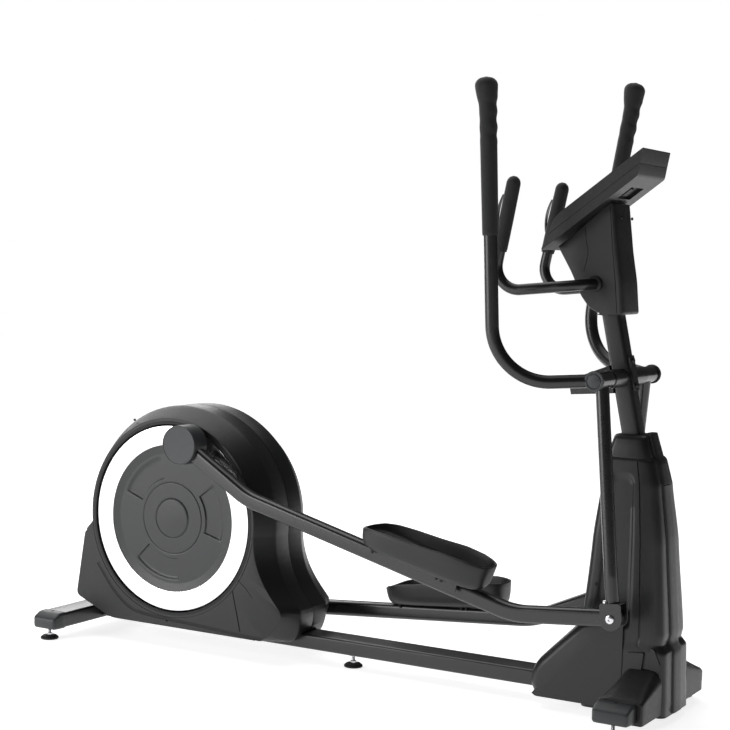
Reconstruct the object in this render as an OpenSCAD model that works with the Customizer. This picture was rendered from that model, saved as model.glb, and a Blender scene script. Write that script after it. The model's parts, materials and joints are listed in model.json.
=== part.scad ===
// Rear-drive elliptical trainer: base, crank and flywheel, swing arms, pedals, mast and console.
// X runs from the crank towards the console, Y to the user's left, Z up from the floor.

/* [Base] */
// Distance from the rear end of the base to the crank axle
crank_setback = 424; // [405:1:520]
// Distance from the handle pivot to the front end of the base
front_reach = 182; // [182:1:240]
// Height of the top of the main rail
rail_top = 87; // [80:1:110]
// Width of the main rail
rail_w = 90; // [74:1:110]
// Height of the main rail's section
rail_h = 45; // [36:1:52]
// Wall of the steel tubes
tube_wall = 3; // [2:0.5:4]
// Depth of the rear cross beam along X
rear_beam_d = 85; // [70:1:90]
// Depth of the front cross beam along X
front_beam_d = 100; // [80:1:120]
// Half length of the rear cross beam
rear_beam_half = 282; // [230:1:340]
// Half length of the front cross beam
front_beam_half = 293; // [260:1:350]
// Diameter of a levelling foot
foot_d = 56; // [44:1:68]
// Distance from the crank axle to the middle foot
middle_foot_ahead = 584; // [500:1:900]

/* [Drive] */
// Height of the crank axle
crank_h = 405; // [400:1:480]
// Radius from the crank axle to the crank pin
crank_throw = 254; // [212:1:255]
// Angle of the right crank above the forward horizontal, at rest
crank_angle = 70.6; // [40:0.1:85]
// Radius of the crank axle
axle_r = 15; // [12:0.5:18]
// Outer radius of the bright ring on a crank disk
ring_outer_r = 286; // [284:1:292]
// Inner radius of the bright ring
ring_inner_r = 227; // [224:1:240]
// Radius of the drive pulley
pulley_r = 130; // [110:1:140]
// Radius of the flywheel
flywheel_r = 108; // [90:1:112]
// Thickness of the flywheel
flywheel_t = 34; // [28:1:38]
// Radius of the flywheel's belt pulley
pinion_r = 26; // [22:1:30]
// Width of the belt
belt_w = 22; // [18:1:26]

/* [Housing] */
// Half width of the drive housing over its side faces
housing_half_w = 140; // [138:1:170]
// Largest radius of the housing's round back
housing_r = 345; // [340:1:400]
// Step from the housing's widest outline in to its side face
housing_bevel = 38; // [28:1:40]
// Wall of the plastic covers
cover_wall = 3; // [2:0.5:4]

/* [Linkage] */
// Distance from the crank axle forward to the handle pivot
pivot_ahead = 1411; // [1290:1:1500]
// Height of the handle pivot
pivot_h = 915; // [860:1:1100]
// Length of a swing link, pivot to lower joint
link_len = 622; // [560:1:680]
// Length of a pedal arm, crank pin to lower joint
arm_len = 1437; // [1380:1:1500]
// Distance of a pedal arm from the middle plane
arm_y = 188; // [184:1:215]
// Width of a pedal arm's tube
arm_w = 40; // [34:1:48]
// Height of a pedal arm's tube
arm_tube_h = 46; // [38:1:52]
// Radius of the handle pivot's axle
pivot_r = 16; // [13:0.5:18]
// Outer radius of a swing bushing
bushing_r = 23; // [21.5:0.5:26]
// Radius of a lower joint's bolt
joint_bolt_r = 8; // [6:0.5:10]
// Radius of the round cap over a crank pin
crank_cap_r = 60; // [50:1:70]

/* [Pedals] */
// Length of a pedal
pedal_len = 400; // [340:1:420]
// Width of a pedal
pedal_w = 152; // [128:1:182]
// Wall of a pedal
pedal_wall = 6; // [4:1:8]
// Distance from the crank pin to a pedal's rear end
pedal_start = 678; // [600:1:700]

/* [Handles] */
// Radius of a moving handlebar's tube
handle_r = 18; // [15:0.5:20]
// Height of a moving handlebar above the pivot
handle_rise = 785; // [700:1:860]
// Sideways spread of a moving handlebar from its foot to its bend
handle_spread = 112; // [90:1:150]
// Rearward reach of a moving handlebar from its foot to its bend
handle_reach = 250; // [208:1:300]
// Length of a moving handlebar's grip
grip_len = 414; // [340:1:480]
// Thickness of a grip's foam
grip_t = 3.5; // [3:0.5:6]
// Radius of the fixed handlebar's tube
fixed_r = 15; // [12.5:0.5:17]
// Half width of the fixed handlebar
fixed_half_w = 155; // [132:1:185]

/* [Mast and console] */
// Width of the mast's square tube
mast_w = 52; // [44:1:56]
// Lean of the mast towards the user
mast_lean = 12.2; // [8:0.1:15]
// Width of the console
console_w = 204; // [170:1:300]
// Thickness of the console
console_t = 51; // [43:1:61]
// Length of the console's display face
display_len = 309; // [280:1:360]
// Tilt of the console above the horizontal
console_tilt = 36.7; // [30:0.1:42]

/* [Hidden] */
$fn = 64;

// Clearances
run_fit = 0.05;  // shaft in its hole
seat_gap = 0.5;  // between a cover and what it fits round
side_gap = 2;    // between parts that move past each other
LEFT = 1;
RIGHT = -1;

// Layout along X
total_len = crank_setback + pivot_ahead + front_reach;
rear_x = -total_len / 2;
front_x = total_len / 2;
crank_x = rear_x + crank_setback;
pivot_x = crank_x + pivot_ahead;
rear_beam_x = rear_x + 2;
front_beam_x = front_x - 26 - front_beam_d;
post_x = front_beam_x + front_beam_d / 2 + 5;

// Linkage at rest
function crank_pin(s) = [crank_x, crank_h]
    + crank_throw * [cos(crank_angle + (s == LEFT ? 180 : 0)), sin(crank_angle + (s == LEFT ? 180 : 0))];
// Lower crossing of two circles, the first about the rear point
function lower_crossing(a, ra, b, rb) =
    let (
        d = norm(b - a),
        u = (b - a) / d,
        along = (ra * ra - rb * rb + d * d) / (2 * d),
        off = sqrt(ra * ra - along * along)
    )
    a + u * along + off * [u.y, -u.x];
function lower_joint(s) = lower_crossing(crank_pin(s), arm_len, [pivot_x, pivot_h], link_len);
function arm_tilt(s) =
    let (d = lower_joint(s) - crank_pin(s))
    atan2(d.y, d.x);

// Vectors and placing
function unit(v) = v / norm(v);
function turn_at(p, i) = acos(unit(p[i] - p[i - 1]) * unit(p[i + 1] - p[i]));
function trim_at(p, i, r) = (i == 0 || i == len(p) - 1) ? 0 : r * tan(turn_at(p, i) / 2);

module in_frame(x, y, z, o)
    multmatrix([[x.x, y.x, z.x, o.x], [x.y, y.y, z.y, o.y], [x.z, y.z, z.z, o.z], [0, 0, 0, 1]])
        children();

module on_side(s) {
    if (s == RIGHT) mirror([0, 1, 0]) children();
    else children();
}

module both_sides() for (s = [LEFT, RIGHT]) on_side(s) children();

// A profile carried straight from a to b; its y axis lies along the normal
module straight(a, b, normal = [0, 1, 0]) {
    u = unit(b - a);
    n = unit(normal - u * (normal * u));
    in_frame(cross(n, u), n, u, a) linear_extrude(norm(b - a)) children();
}

// Stations [point, direction] along a path with rounded bends, run on by extra at both ends
function stations(p, bend_r, steps, extra) =
    let (last = len(p) - 1, u0 = unit(p[1] - p[0]), u1 = unit(p[last] - p[last - 1]))
    concat(
        [[p[0] - extra * u0, u0]],
        [
            for (i = [1 : 1 : last - 1])
                let (
                    u = unit(p[i] - p[i - 1]),
                    w = unit(p[i + 1] - p[i]),
                    c = p[i] + unit(w - u) * bend_r / cos(turn_at(p, i) / 2),
                    e = unit(p[i] - u * trim_at(p, i, bend_r) - c)
                )
                for (k = [0 : steps])
                    let (a = turn_at(p, i) * k / steps)
                    [c + bend_r * (e * cos(a) + u * sin(a)), u * cos(a) - e * sin(a)]
        ],
        [[p[last] + extra * u1, u1]]
    );

// A solid bent bar: outline points carried along a path
module bent(p, bend_r, outline, steps, normal = [0, 1, 0], extra = 0) {
    n = len(outline);
    path = stations(p, bend_r, steps, extra);
    points = [
        for (q = path)
            let (y = unit(normal - q[1] * (normal * q[1])), x = cross(y, q[1]))
            for (o = outline) q[0] + x * o.x + y * o.y
    ];
    polyhedron(points, ring_faces(n, len(path)));
}

// A bent tube with an open bore
module bent_tube(p, bend_r, outer, inner, steps, normal = [0, 1, 0]) difference() {
    bent(p, bend_r, outer, steps, normal);
    bent(p, bend_r, inner, steps, normal, 1);
}

// Round bar along Y
module bar_y(x, z, y0, y1, r) translate([x, y0, z]) rotate([-90, 0, 0]) cylinder(r = r, h = y1 - y0);

// A shape drawn in X and Z, carried from y0 to y1
module slab_y(y0, y1) translate([0, y1, 0]) rotate([90, 0, 0]) linear_extrude(y1 - y0) children();

module block(x0, x1, y0, y1, z0, z1) translate([x0, y0, z0]) cube([x1 - x0, y1 - y0, z1 - z0]);

module rounded(w, h, r) {
    square([w - 2 * r, h], center = true);
    square([w, h - 2 * r], center = true);
    for (x = [-1, 1], y = [-1, 1]) translate([x * (w / 2 - r), y * (h / 2 - r)]) circle(r);
}

module box_tube(w, h, r, wall) difference() {
    rounded(w, h, r);
    rounded(w - 2 * wall, h - 2 * wall, max(r - wall, 0.5));
}

// Outline points
function arc(c, r, a0, a1, n) = [for (i = [0 : n]) let (a = a0 + (a1 - a0) * i / n) c + r * [cos(a), sin(a)]];
function curve(p0, p1, p2, p3, n) = [
    for (i = [1 : n - 1])
        let (t = i / n, q = 1 - t)
        q * q * q * p0 + 3 * q * q * t * p1 + 3 * q * t * t * p2 + t * t * t * p3
];
function rounded_points(x0, x1, y0, y1, r, n) = concat(
    arc([x1 - r, y1 - r], r, 0, 90, n), arc([x0 + r, y1 - r], r, 90, 180, n),
    arc([x0 + r, y0 + r], r, 180, 270, n), arc([x1 - r, y0 + r], r, 270, 360, n));

function ring_points(r, n) = [for (i = [0 : n - 1]) r * [cos(i * 360 / n), sin(i * 360 / n)]];

// Faces of m rings of n points each, closed at both ends
function ring_faces(n, m) = concat(
    [[for (i = [0 : n - 1]) i]],
    [
        for (j = [0 : m - 2], i = [0 : n - 1])
            let (a = j * n + i, b = j * n + (i + 1) % n)
            each [[a, a + n, b + n], [a, b + n, b]]
    ],
    [[for (i = [n - 1 : -1 : 0]) (m - 1) * n + i]]);

// Rounded rectangle about the origin
function square_points(w, h, r) = rounded_points(-w / 2, w / 2, -h / 2, h / 2, r, 4);

// A solid through outlines of equal length, each [height, points]
module skin(sections)
    polyhedron([for (s = sections, p = s[1]) [p.x, p.y, s[0]]], ring_faces(len(sections[0][1]), len(sections)));

// ---------- Base ----------

beam_h = 48;
beam_corner = 8;
rear_beam_top = rail_top - 4;
front_beam_top = rail_top + 2;
cap_len = 55;
cap_lip = 2;
stem_r = 5;
foot_pad_h = 12;
foot_inset = 30;
nut_r = 11;
nut_h = 9;
stem_reach = 26;
rail_z = rail_top - rail_h / 2;
rail_start = rear_beam_x + rear_beam_d;
middle_foot_x = crank_x + middle_foot_ahead;

module rail_nut() translate([middle_foot_x, 0, rail_top - rail_h - nut_h]) children();

module main_rail() color("dimgray") difference() {
    straight([rail_start, 0, rail_z], [front_beam_x, 0, rail_z])
        box_tube(rail_h, rail_w, beam_corner, tube_wall);
    rail_nut() cylinder(r = stem_r + side_gap, h = nut_h + 2 * tube_wall);
}

module cross_beam(x, depth, top, half)
    straight([x, cap_len - half, top - beam_h / 2], [x, half - cap_len, top - beam_h / 2], [1, 0, 0])
        box_tube(beam_h, depth, beam_corner, tube_wall);

module rear_beam() color("dimgray")
    cross_beam(rear_beam_x + rear_beam_d / 2, rear_beam_d, rear_beam_top, rear_beam_half);

module front_beam() color("dimgray")
    cross_beam(front_beam_x + front_beam_d / 2, front_beam_d, front_beam_top, front_beam_half);

// Plastic cup on a beam's end; a boss inside it guides a levelling foot
module beam_end_cap(x, depth, top, half) {
    mid = top - beam_h / 2;
    difference() {
        union() {
            difference() {
                slab_y(half - cap_len, half)
                    translate([x, mid]) rounded(depth + 2 * cap_lip, beam_h + 2 * cap_lip, beam_corner);
                slab_y(half - cap_len - 1, half - 2 * cap_lip)
                    translate([x, mid]) rounded(depth - 2 * cap_lip, beam_h - 2 * cap_lip, beam_corner);
            }
            translate([x, half - foot_inset, top - beam_h - cap_lip]) cylinder(r = nut_r + 3, h = beam_h / 2);
        }
        translate([x, half - foot_inset, 0]) cylinder(r = stem_r + run_fit, h = top - 12);
        translate([x - depth, half - cap_len / 2, top + cap_lip]) rotate([-22, 0, 0]) cube([2 * depth, cap_len, 20]);
    }
}

module beam_end_caps() color("#2b2d2f") both_sides() {
    beam_end_cap(rear_beam_x + rear_beam_d / 2, rear_beam_d, rear_beam_top, rear_beam_half);
    beam_end_cap(front_beam_x + front_beam_d / 2, front_beam_d, front_beam_top, front_beam_half);
}

// Levelling foot: rubber pad, collar and threaded stem that stops under the roof above it
module level_foot(x, y, stem_top) color("#1c1c1c") translate([x, y, 0]) {
    cylinder(r = foot_d / 2, h = foot_pad_h - 3);
    translate([0, 0, foot_pad_h - 3]) cylinder(r = foot_d / 2 - 5, h = 3);
    cylinder(r = stem_r, h = stem_top);
}

module foot_rear_left() level_foot(rear_beam_x + rear_beam_d / 2, rear_beam_half - foot_inset, rear_beam_top - 20);
module foot_rear_right() level_foot(rear_beam_x + rear_beam_d / 2, foot_inset - rear_beam_half, rear_beam_top - 20);
module foot_front_left()
    level_foot(front_beam_x + front_beam_d / 2, front_beam_half - foot_inset, front_beam_top - 20);
module foot_front_right()
    level_foot(front_beam_x + front_beam_d / 2, foot_inset - front_beam_half, front_beam_top - 20);
module foot_middle() level_foot(middle_foot_x, 0, rail_top - rail_h + stem_reach);

// ---------- Mast ----------

post_w = mast_w + 2 * (tube_wall + seat_gap);
mast_corner = 9;
post_bend_r = 160;
lean = [-sin(mast_lean), 0, cos(mast_lean)];
// Point on the mast's axis at a height
function mast_at(z) = [pivot_x - (z - pivot_h) * tan(mast_lean), 0, z];
post_bend_h = pivot_h - (post_x - pivot_x) / tan(mast_lean);
post_top_h = pivot_h - 235;
mast_foot_h = post_bend_h + 80;
mast_top_h = pivot_h + 385;
cross_r = bushing_r + 2;
cross_half = 116;
saddle_reach = 150;
saddle_w = mast_w + 2 * tube_wall;

module base_post() color("#2a2b2d")
    bent_tube([[post_x, 0, front_beam_top], [post_x, 0, post_bend_h], mast_at(post_top_h)], post_bend_r,
              square_points(post_w, post_w, mast_corner + tube_wall),
              square_points(post_w - 2 * tube_wall, post_w - 2 * tube_wall, mast_corner), 4);

module mast() color("#2f3133") difference() {
    straight(mast_at(mast_foot_h), mast_at(mast_top_h)) box_tube(mast_w, mast_w, mast_corner, tube_wall);
    bar_y(pivot_x, pivot_h, -mast_w, mast_w, cross_r);
}

// Fixed cross tube through the mast; the pivot axle runs inside it
module pivot_tube() color("#2f3133") difference() {
    bar_y(pivot_x, pivot_h, -cross_half, cross_half, cross_r);
    bar_y(pivot_x, pivot_h, -cross_half - 1, cross_half + 1, pivot_r);
}

axle_half = 200;
module pivot_axle() color("silver") bar_y(pivot_x, pivot_h, -axle_half, axle_half, pivot_r);

// Channel behind the mast that stiffens the cross tube, and the plate bolted to the mast's front
saddle_h = 76;
plate_w = 34;
plate_h = 96;
plate_t = 6;
plate_bolt_r = 7;
module pivot_saddle() color("#2f3133") {
    in_frame([cos(mast_lean), 0, sin(mast_lean)], [0, 1, 0], lean, [pivot_x, 0, pivot_h]) {
        difference() {
            slab_y(-saddle_w / 2, saddle_w / 2) polygon([
                [-mast_w / 2, -saddle_h / 2], [-mast_w / 2, saddle_h / 2],
                [-saddle_reach, saddle_h / 2 - 20], [-saddle_reach, 16 - saddle_h / 2]
            ]);
            slab_y(-saddle_w / 2 + tube_wall, saddle_w / 2 - tube_wall) polygon([
                [-mast_w / 2 - tube_wall, tube_wall - saddle_h / 2], [-mast_w / 2 - tube_wall, saddle_h / 2 - tube_wall],
                [-saddle_reach - 1, saddle_h / 2 - 23], [-saddle_reach - 1, 19 - saddle_h / 2]
            ]);
            rotate([0, -mast_lean, 0]) bar_y(0, 0, -saddle_w, saddle_w, cross_r);
        }
        translate([mast_w / 2, 0, 8]) rotate([0, 90, 0]) {
            linear_extrude(plate_t) rounded(plate_h, plate_w, 6);
            for (z = [-1, 1]) translate([z * (plate_h / 2 - 14), 0, plate_t]) cylinder(r = plate_bolt_r, h = 5);
        }
    }
}

// ---------- Front shroud ----------

shroud_low = 24;
shroud_top = pivot_h - 210;
collar_top = pivot_h - 150;
shroud_inside_gap = 4;

// Column sections: height, rear and front from the pivot, half width
column_sections = [
    [shroud_low, -60, front_reach, 98], [196, -64, front_reach - 5, 96],
    [214, -66, front_reach - 20, 93], [236, -68, front_reach - 14, 92], [480, -50, front_reach - 32, 80],
    [shroud_top - 70, -33, front_reach - 52, 70], [shroud_top, -24, front_reach - 73, 62]
];
collar_sections = [
    [shroud_top, -21, front_reach - 77, 59], [collar_top - 12, -13, front_reach - 94, 55],
    [collar_top, -5, front_reach - 102, 47]
];

module column(sections, inset) skin([
    for (i = [0 : len(sections) - 1])
        let (s = sections[i])
        [s[0], rounded_points(pivot_x + s[1] + inset, pivot_x + s[2] - inset, inset - s[3], s[3] - inset, 22, 6)]
]);

wedge_reach = 222;
wedge_half = 96;
module wedge(inset) {
    front = pivot_x + 60;
    rear = pivot_x - wedge_reach + inset;
    low = shroud_low + 6 + inset * 0.2;
    side = wedge_half - inset;
    skin([
        for (s = [[-side, 14], [14 - side, 0], [side - 14, 0], [side, 14]])
            let (d = s[1] * 0.9)
            [s[0], [
                [rear + 26, low], [front, low], [front, 300 - inset], [pivot_x - 60, 262 - inset - d],
                [rear + d + 18, 126 - inset - d], [rear + d + 2, 108 - inset], [rear + d, 62]
            ]]
    ]);
}

module upright_wedge(inset) rotate([90, 0, 0]) wedge(inset);

module beam_room() slab_y(-200, 200)
    translate([front_beam_x + front_beam_d / 2, front_beam_top - beam_h / 2])
        rounded(front_beam_d + 2 * seat_gap, beam_h + 2 * seat_gap, beam_corner);

module shroud_shell() difference() {
    union() {
        column(column_sections, 0);
        upright_wedge(0);
    }
    union() {
        column([for (s = column_sections) [s[0] + (s[0] == shroud_low ? -1 : s[0] == shroud_top ? 1 : 0),
                                          s[1], s[2], s[3]]], cover_wall);
        upright_wedge(cover_wall);
    }
    beam_room();
    // rail entry
    block(pivot_x - wedge_reach - 10, pivot_x - 100, -rail_w / 2 - seat_gap, rail_w / 2 + seat_gap,
          rail_top - rail_h - 30, rail_top + seat_gap);
    // opening under the shroud
    block(pivot_x - wedge_reach + 50, front_x - 30, -wedge_half + 16, wedge_half - 16, 0, 60);
}

module shroud_half(s) color("#232527") intersection() {
    shroud_shell();
    on_side(s) block(rear_x, front_x + 50, 0.1, 300, 0, pivot_h);
}
module shroud_left() shroud_half(LEFT);
module shroud_right() shroud_half(RIGHT);

module shroud_collar() color("#1f2123") difference() {
    column(collar_sections, 0);
    column([for (s = collar_sections) [s[0] + (s[0] == collar_top ? -3 : s[0] == shroud_top ? -1 : 0),
                                       s[1], s[2], s[3]]], cover_wall);
    straight(mast_at(post_top_h - 60), mast_at(pivot_h)) rounded(post_w + 3, post_w + 3, mast_corner);
}

cover_reach = 236;
cover_rise = 62;
// Sloping covers over the front beam, either side of the shroud
module foot_covers() color("#1d1f21") both_sides() difference() {
    foot_cover_body(0);
    foot_cover_body(cover_wall);
    beam_room();
    slab_y(0, 300) translate([front_beam_x + front_beam_d / 2, 0])
        square([front_beam_d + 2 * seat_gap, 2 * (front_beam_top - beam_h / 2)], center = true);
}

module foot_cover_body(inset) {
    inner = 98 + seat_gap;
    x0 = front_beam_x - 8;
    x1 = front_x - 8;
    rotate([90, 0, 0]) mirror([0, 0, 1]) skin([
        for (s = [[inner - (inset > 0 ? 1 : 0), cover_rise], [cover_reach + (inset > 0 ? 1 : 0), 6]])
            [s[0], [
                [x0 + inset, 34 - (inset > 0 ? 5 : 0)], [x1 - inset, 34 - (inset > 0 ? 5 : 0)],
                [x1 - inset, front_beam_top + s[1] * 0.55 - inset], [x1 - 18 - inset, front_beam_top + s[1] - inset],
                [x0 + 30 + inset, front_beam_top + s[1] - inset], [x0 + inset, front_beam_top + 3 - inset * 0.5]
            ]]
    ]);
}

// ---------- Drive frame, belt and flywheel ----------

plate_t_base = 6;
post_y = 66;
post_d = 28;
post_half = 20;
sleeve_r = 37;
bearing_r = 28;
stay_t = 8;
fly_shaft_r = 10;
fly_bearing_r = 20;
fly_ahead = 215;
fly_x = crank_x + fly_ahead;
fly_h = crank_h - 143;
fly_y = -22 - flywheel_t;
belt_y = 23;
belt_t = 4;
belt_gap = 0.4;
base_top = rail_top + plate_t_base;
brake_r = 122;
brake_from = 205;
brake_to = 290;
brake_pin_r = 6;
brake_x = fly_x + brake_r * cos(brake_from);
brake_h = fly_h + brake_r * sin(brake_from);

// Outline round two circles joined by their outer tangents
module loop(c1, r1, c2, r2) {
    u = unit(c2 - c1);
    v = [-u.y, u.x];
    k = (r1 - r2) / norm(c2 - c1);
    q = sqrt(1 - k * k);
    translate(c1) circle(r1);
    translate(c2) circle(r2);
    polygon([c1 + r1 * (u * k + v * q), c1 + r1 * (u * k - v * q),
             c2 + r2 * (u * k - v * q), c2 + r2 * (u * k + v * q)]);
}

// Base plate, two posts with bearing sleeves, and the flywheel's stays
module drive_frame() color("#303234") {
    difference() {
        union() {
            block(crank_x - 110, fly_x + 100, -100, 100, rail_top, base_top);
            both_sides() {
                slab_y(post_y, post_y + post_d) loop([crank_x, crank_h], sleeve_r, [crank_x, base_top], post_half);
                slab_y(post_y, post_y + stay_t) polygon([
                    [fly_x - 140, rail_top], [fly_x + 90, rail_top], [fly_x + 34, fly_h + 8],
                    [fly_x + 18, fly_h + 32], [fly_x - 18, fly_h + 32], [fly_x - 136, fly_h - 30]
                ]);
            }
        }
        bar_y(crank_x, crank_h, -200, 200, bearing_r);
        bar_y(fly_x, fly_h, -200, 200, fly_bearing_r);
        block(crank_x - 200, fly_x + 200, -200, 200, 0, rail_top);
    }
    // pin that carries the brake
    bar_y(brake_x, brake_h, -post_y, fly_y + flywheel_t + 8, brake_pin_r);
}

// Ball bearings of the crank axle and the flywheel shaft
module bearings() color("silver") both_sides() {
    difference() {
        bar_y(crank_x, crank_h, post_y + 2, post_y + post_d - 2, bearing_r);
        bar_y(crank_x, crank_h, 0, 200, axle_r + run_fit);
    }
    difference() {
        bar_y(fly_x, fly_h, post_y, post_y + stay_t, fly_bearing_r);
        bar_y(fly_x, fly_h, 0, 200, fly_shaft_r + run_fit);
    }
}

// The same outline as points, so that its straights and arcs close exactly
function loop_points(c1, r1, c2, r2, n) =
    let (d = c2 - c1, way = atan2(d.y, d.x), half = acos((r1 - r2) / norm(d)))
    concat(arc(c1, r1, way + half, way + 360 - half, 2 * n), arc(c2, r2, way - half, way + half, n));

module drive_belt() color("black") slab_y(belt_y, belt_y + belt_w) difference() {
    polygon(loop_points([crank_x, crank_h], pulley_r + belt_gap + belt_t, [fly_x, fly_h],
                        pinion_r + belt_gap + belt_t, 20));
    polygon(loop_points([crank_x, crank_h], pulley_r + belt_gap, [fly_x, fly_h], pinion_r + belt_gap, 20));
}

module drive_pulley() color("#444648") difference() {
    translate([crank_x, belt_y, crank_h]) rotate([-90, 0, 0]) rotate_extrude() {
        translate([axle_r, 0]) square([15, belt_w]);
        translate([axle_r + 14, belt_w / 2 - 3]) square([pulley_r - axle_r - 26, 6]);
        translate([pulley_r - 13, 0]) square([13, belt_w]);
    }
    for (a = [36 : 72 : 360])
        bar_y(crank_x + pulley_r * 0.56 * cos(a), crank_h + pulley_r * 0.56 * sin(a), 0, 100, pulley_r * 0.16);
}

module flywheel() color("#77797c") translate([fly_x, 0, fly_h]) rotate([-90, 0, 0]) {
    translate([0, 0, fly_y]) rotate_extrude() {
        translate([fly_shaft_r - 1, flywheel_t / 2 - 14]) square([18, 28]);
        translate([fly_shaft_r + 16, flywheel_t / 2 - 6]) square([flywheel_r - fly_shaft_r - 50, 12]);
        translate([flywheel_r - 36, 0]) square([36, flywheel_t]);
    }
    translate([0, 0, -post_y - stay_t]) cylinder(r = fly_shaft_r, h = 2 * (post_y + stay_t));
    translate([0, 0, belt_y]) cylinder(r = pinion_r, h = belt_w);
}

// Yoke with magnets that swings away from the flywheel's rim
module brake_carrier() color("#55585b") {
    cheek = 2.5;
    gap = 2.5;
    band = 6;
    magnet_t = 8;
    y0 = fly_y - gap - cheek;
    y1 = fly_y + flywheel_t + gap + cheek;
    inner = flywheel_r - 24;
    deep = y1 - y0;
    difference() {
        union() {
            translate([fly_x, y0, fly_h]) rotate([-90, 0, 0]) rotate([0, 0, -brake_to])
                rotate_extrude(angle = brake_to - brake_from) polygon([
                    [inner, 0], [brake_r + band, 0], [brake_r + band, deep], [inner, deep],
                    [inner, deep - cheek], [brake_r, deep - cheek], [brake_r, cheek], [inner, cheek]
                ]);
            bar_y(brake_x, brake_h, y0 - 1, y1 + 1, brake_pin_r + 5);
        }
        bar_y(brake_x, brake_h, -100, 100, brake_pin_r + run_fit);
    }
    for (a = [brake_from + 20 : 20 : brake_to - 5])
        translate([fly_x, 0, fly_h]) rotate([0, -a, 0])
            block(brake_r - magnet_t, brake_r + 1, y0 + cheek + 1, y1 - cheek - 1, -9, 9);
}

// Small geared motor that pulls the brake, with its cable wheel
module brake_servo() color("#1d1d1d") {
    block(crank_x - 96, crank_x - 40, -34, 6, base_top, base_top + 44);
    translate([crank_x - 68, -14, base_top + 44]) {
        cylinder(r = 14, h = 6);
        cylinder(r = 4, h = 11);
    }
}

// ---------- Crank ----------

disk_back = housing_half_w - 18;
disk_front = housing_half_w - 9;
disk_rim = 25;
ring_front = housing_half_w - 3;
crank_arm_y = housing_half_w - 36;
crank_arm_t = 12;
boss_r = 25;
boss_end = housing_half_w + 10.5;
pin_r = 17;
ring_hole_r = boss_r + 0.5;
hub_cap_r = 62;

module crank_axle() color("silver")
    bar_y(crank_x, crank_h, -crank_arm_y - crank_arm_t, crank_arm_y + crank_arm_t, axle_r);

// Flat steel arm, boss and stub of one crank; the stub stops short of the pedal arm
module crank_arm(s) on_side(s) difference() {
    union() {
        slab_y(crank_arm_y, crank_arm_y + crank_arm_t) loop([crank_x, crank_h], 38, crank_pin(s), 30);
        bar_y(crank_pin(s).x, crank_pin(s).y, crank_arm_y, boss_end, boss_r);
    }
    bar_y(crank_x, crank_h, 0, 200, axle_r);
}
module crank_arms() color("#3a3c3e") {
    crank_arm(LEFT);
    crank_arm(RIGHT);
}

// Moulded disk with three shallow pockets between its spokes
pocket_in = 128;
pocket_out = 184;
pocket_half = 27;
pocket_depth = 5;
module crank_disk(s) on_side(s) {
    turn = crank_angle + (s == LEFT ? 180 : 0);
    difference() {
        translate([crank_x, 0, crank_h]) rotate([90, 0, 0]) mirror([0, 0, 1]) rotate_extrude()
            polygon([
                [axle_r + 1, disk_back], [ring_inner_r - 0.5, disk_back], [ring_inner_r - 0.5, ring_front],
                [ring_inner_r - disk_rim, disk_front - 1], [112, disk_front - 1], [110, disk_front],
                [hub_cap_r + 0.5, disk_front], [hub_cap_r + 0.5, disk_front - 6], [axle_r + 1, disk_front - 6]
            ]);
        for (a = [61.4, -67.6, 181.4])
            translate([crank_x, disk_front - pocket_depth, crank_h]) rotate([90, 0, 0])
                mirror([0, 0, 1]) rotate(turn + a - pocket_half) rotate_extrude(angle = 2 * pocket_half)
                    translate([pocket_in, 0]) square([pocket_out - pocket_in, 20]);
    }
}
module crank_disks() color("#5b5e61") {
    crank_disk(LEFT);
    crank_disk(RIGHT);
}

module crank_ring(s) on_side(s) difference() {
    translate([crank_x, 0, crank_h]) rotate([90, 0, 0]) mirror([0, 0, 1]) rotate_extrude()
        polygon([
            [ring_inner_r, disk_back + 6], [ring_outer_r, disk_back + 6], [ring_outer_r, ring_front - 2],
            [ring_outer_r - 2, ring_front], [ring_inner_r, ring_front]
        ]);
    bar_y(crank_pin(s).x, crank_pin(s).y, 0, 200, ring_hole_r);
}
module crank_rings() color("white") {
    crank_ring(LEFT);
    crank_ring(RIGHT);
}

module hub_caps() color("#4c4f52") both_sides()
    translate([crank_x, 0, crank_h]) rotate([90, 0, 0]) mirror([0, 0, 1]) rotate_extrude()
        polygon([
            [0, disk_front - 5], [hub_cap_r, disk_front - 5], [hub_cap_r, disk_front],
            [hub_cap_r - 4, disk_front + 2], [0, disk_front + 3.5]
        ]);

// ---------- Drive housing ----------

rim_half = 72;
housing_low = 62;
opening_r = ring_outer_r + 5;

// Side outline of the housing, stepped in by i from its widest
function housing_outline(i) =
    let (
        r = housing_r - i,
        front = [r * cos(5), crank_h - r * sin(5)],
        nose = [housing_r + 95 - 0.74 * i, 162],
        low = [housing_r + 58 - 1.9 * i, housing_low + 0.15 * i],
        c = [0, crank_h]
    )
    concat(
        [low],
        curve(low, low + [30, 8], nose + [6, -34], nose, 6),
        [nose],
        curve(nose, nose + [-50, 56], front + [2, -110], front, 8),
        arc(c, r, -5, 187 + (38 - i) * 0.08, 44),
        [
            [2 - housing_r + 0.2 * i, crank_h - 70], [-33 - housing_r + 0.3 * i, 122 + 0.1 * i],
            [-225, housing_low + 0.15 * i]
        ]
    );

module housing_body(w) translate([crank_x, 0, 0]) rotate([90, 0, 0]) skin([
    [w > 0 ? -1 : 0, housing_outline(w)],
    [rim_half, housing_outline(w)],
    [housing_half_w - 4 - w, housing_outline(housing_bevel - 3 + w)],
    [housing_half_w - w, housing_outline(housing_bevel + (w > 0 ? w + 1 : 0))]
]);

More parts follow.
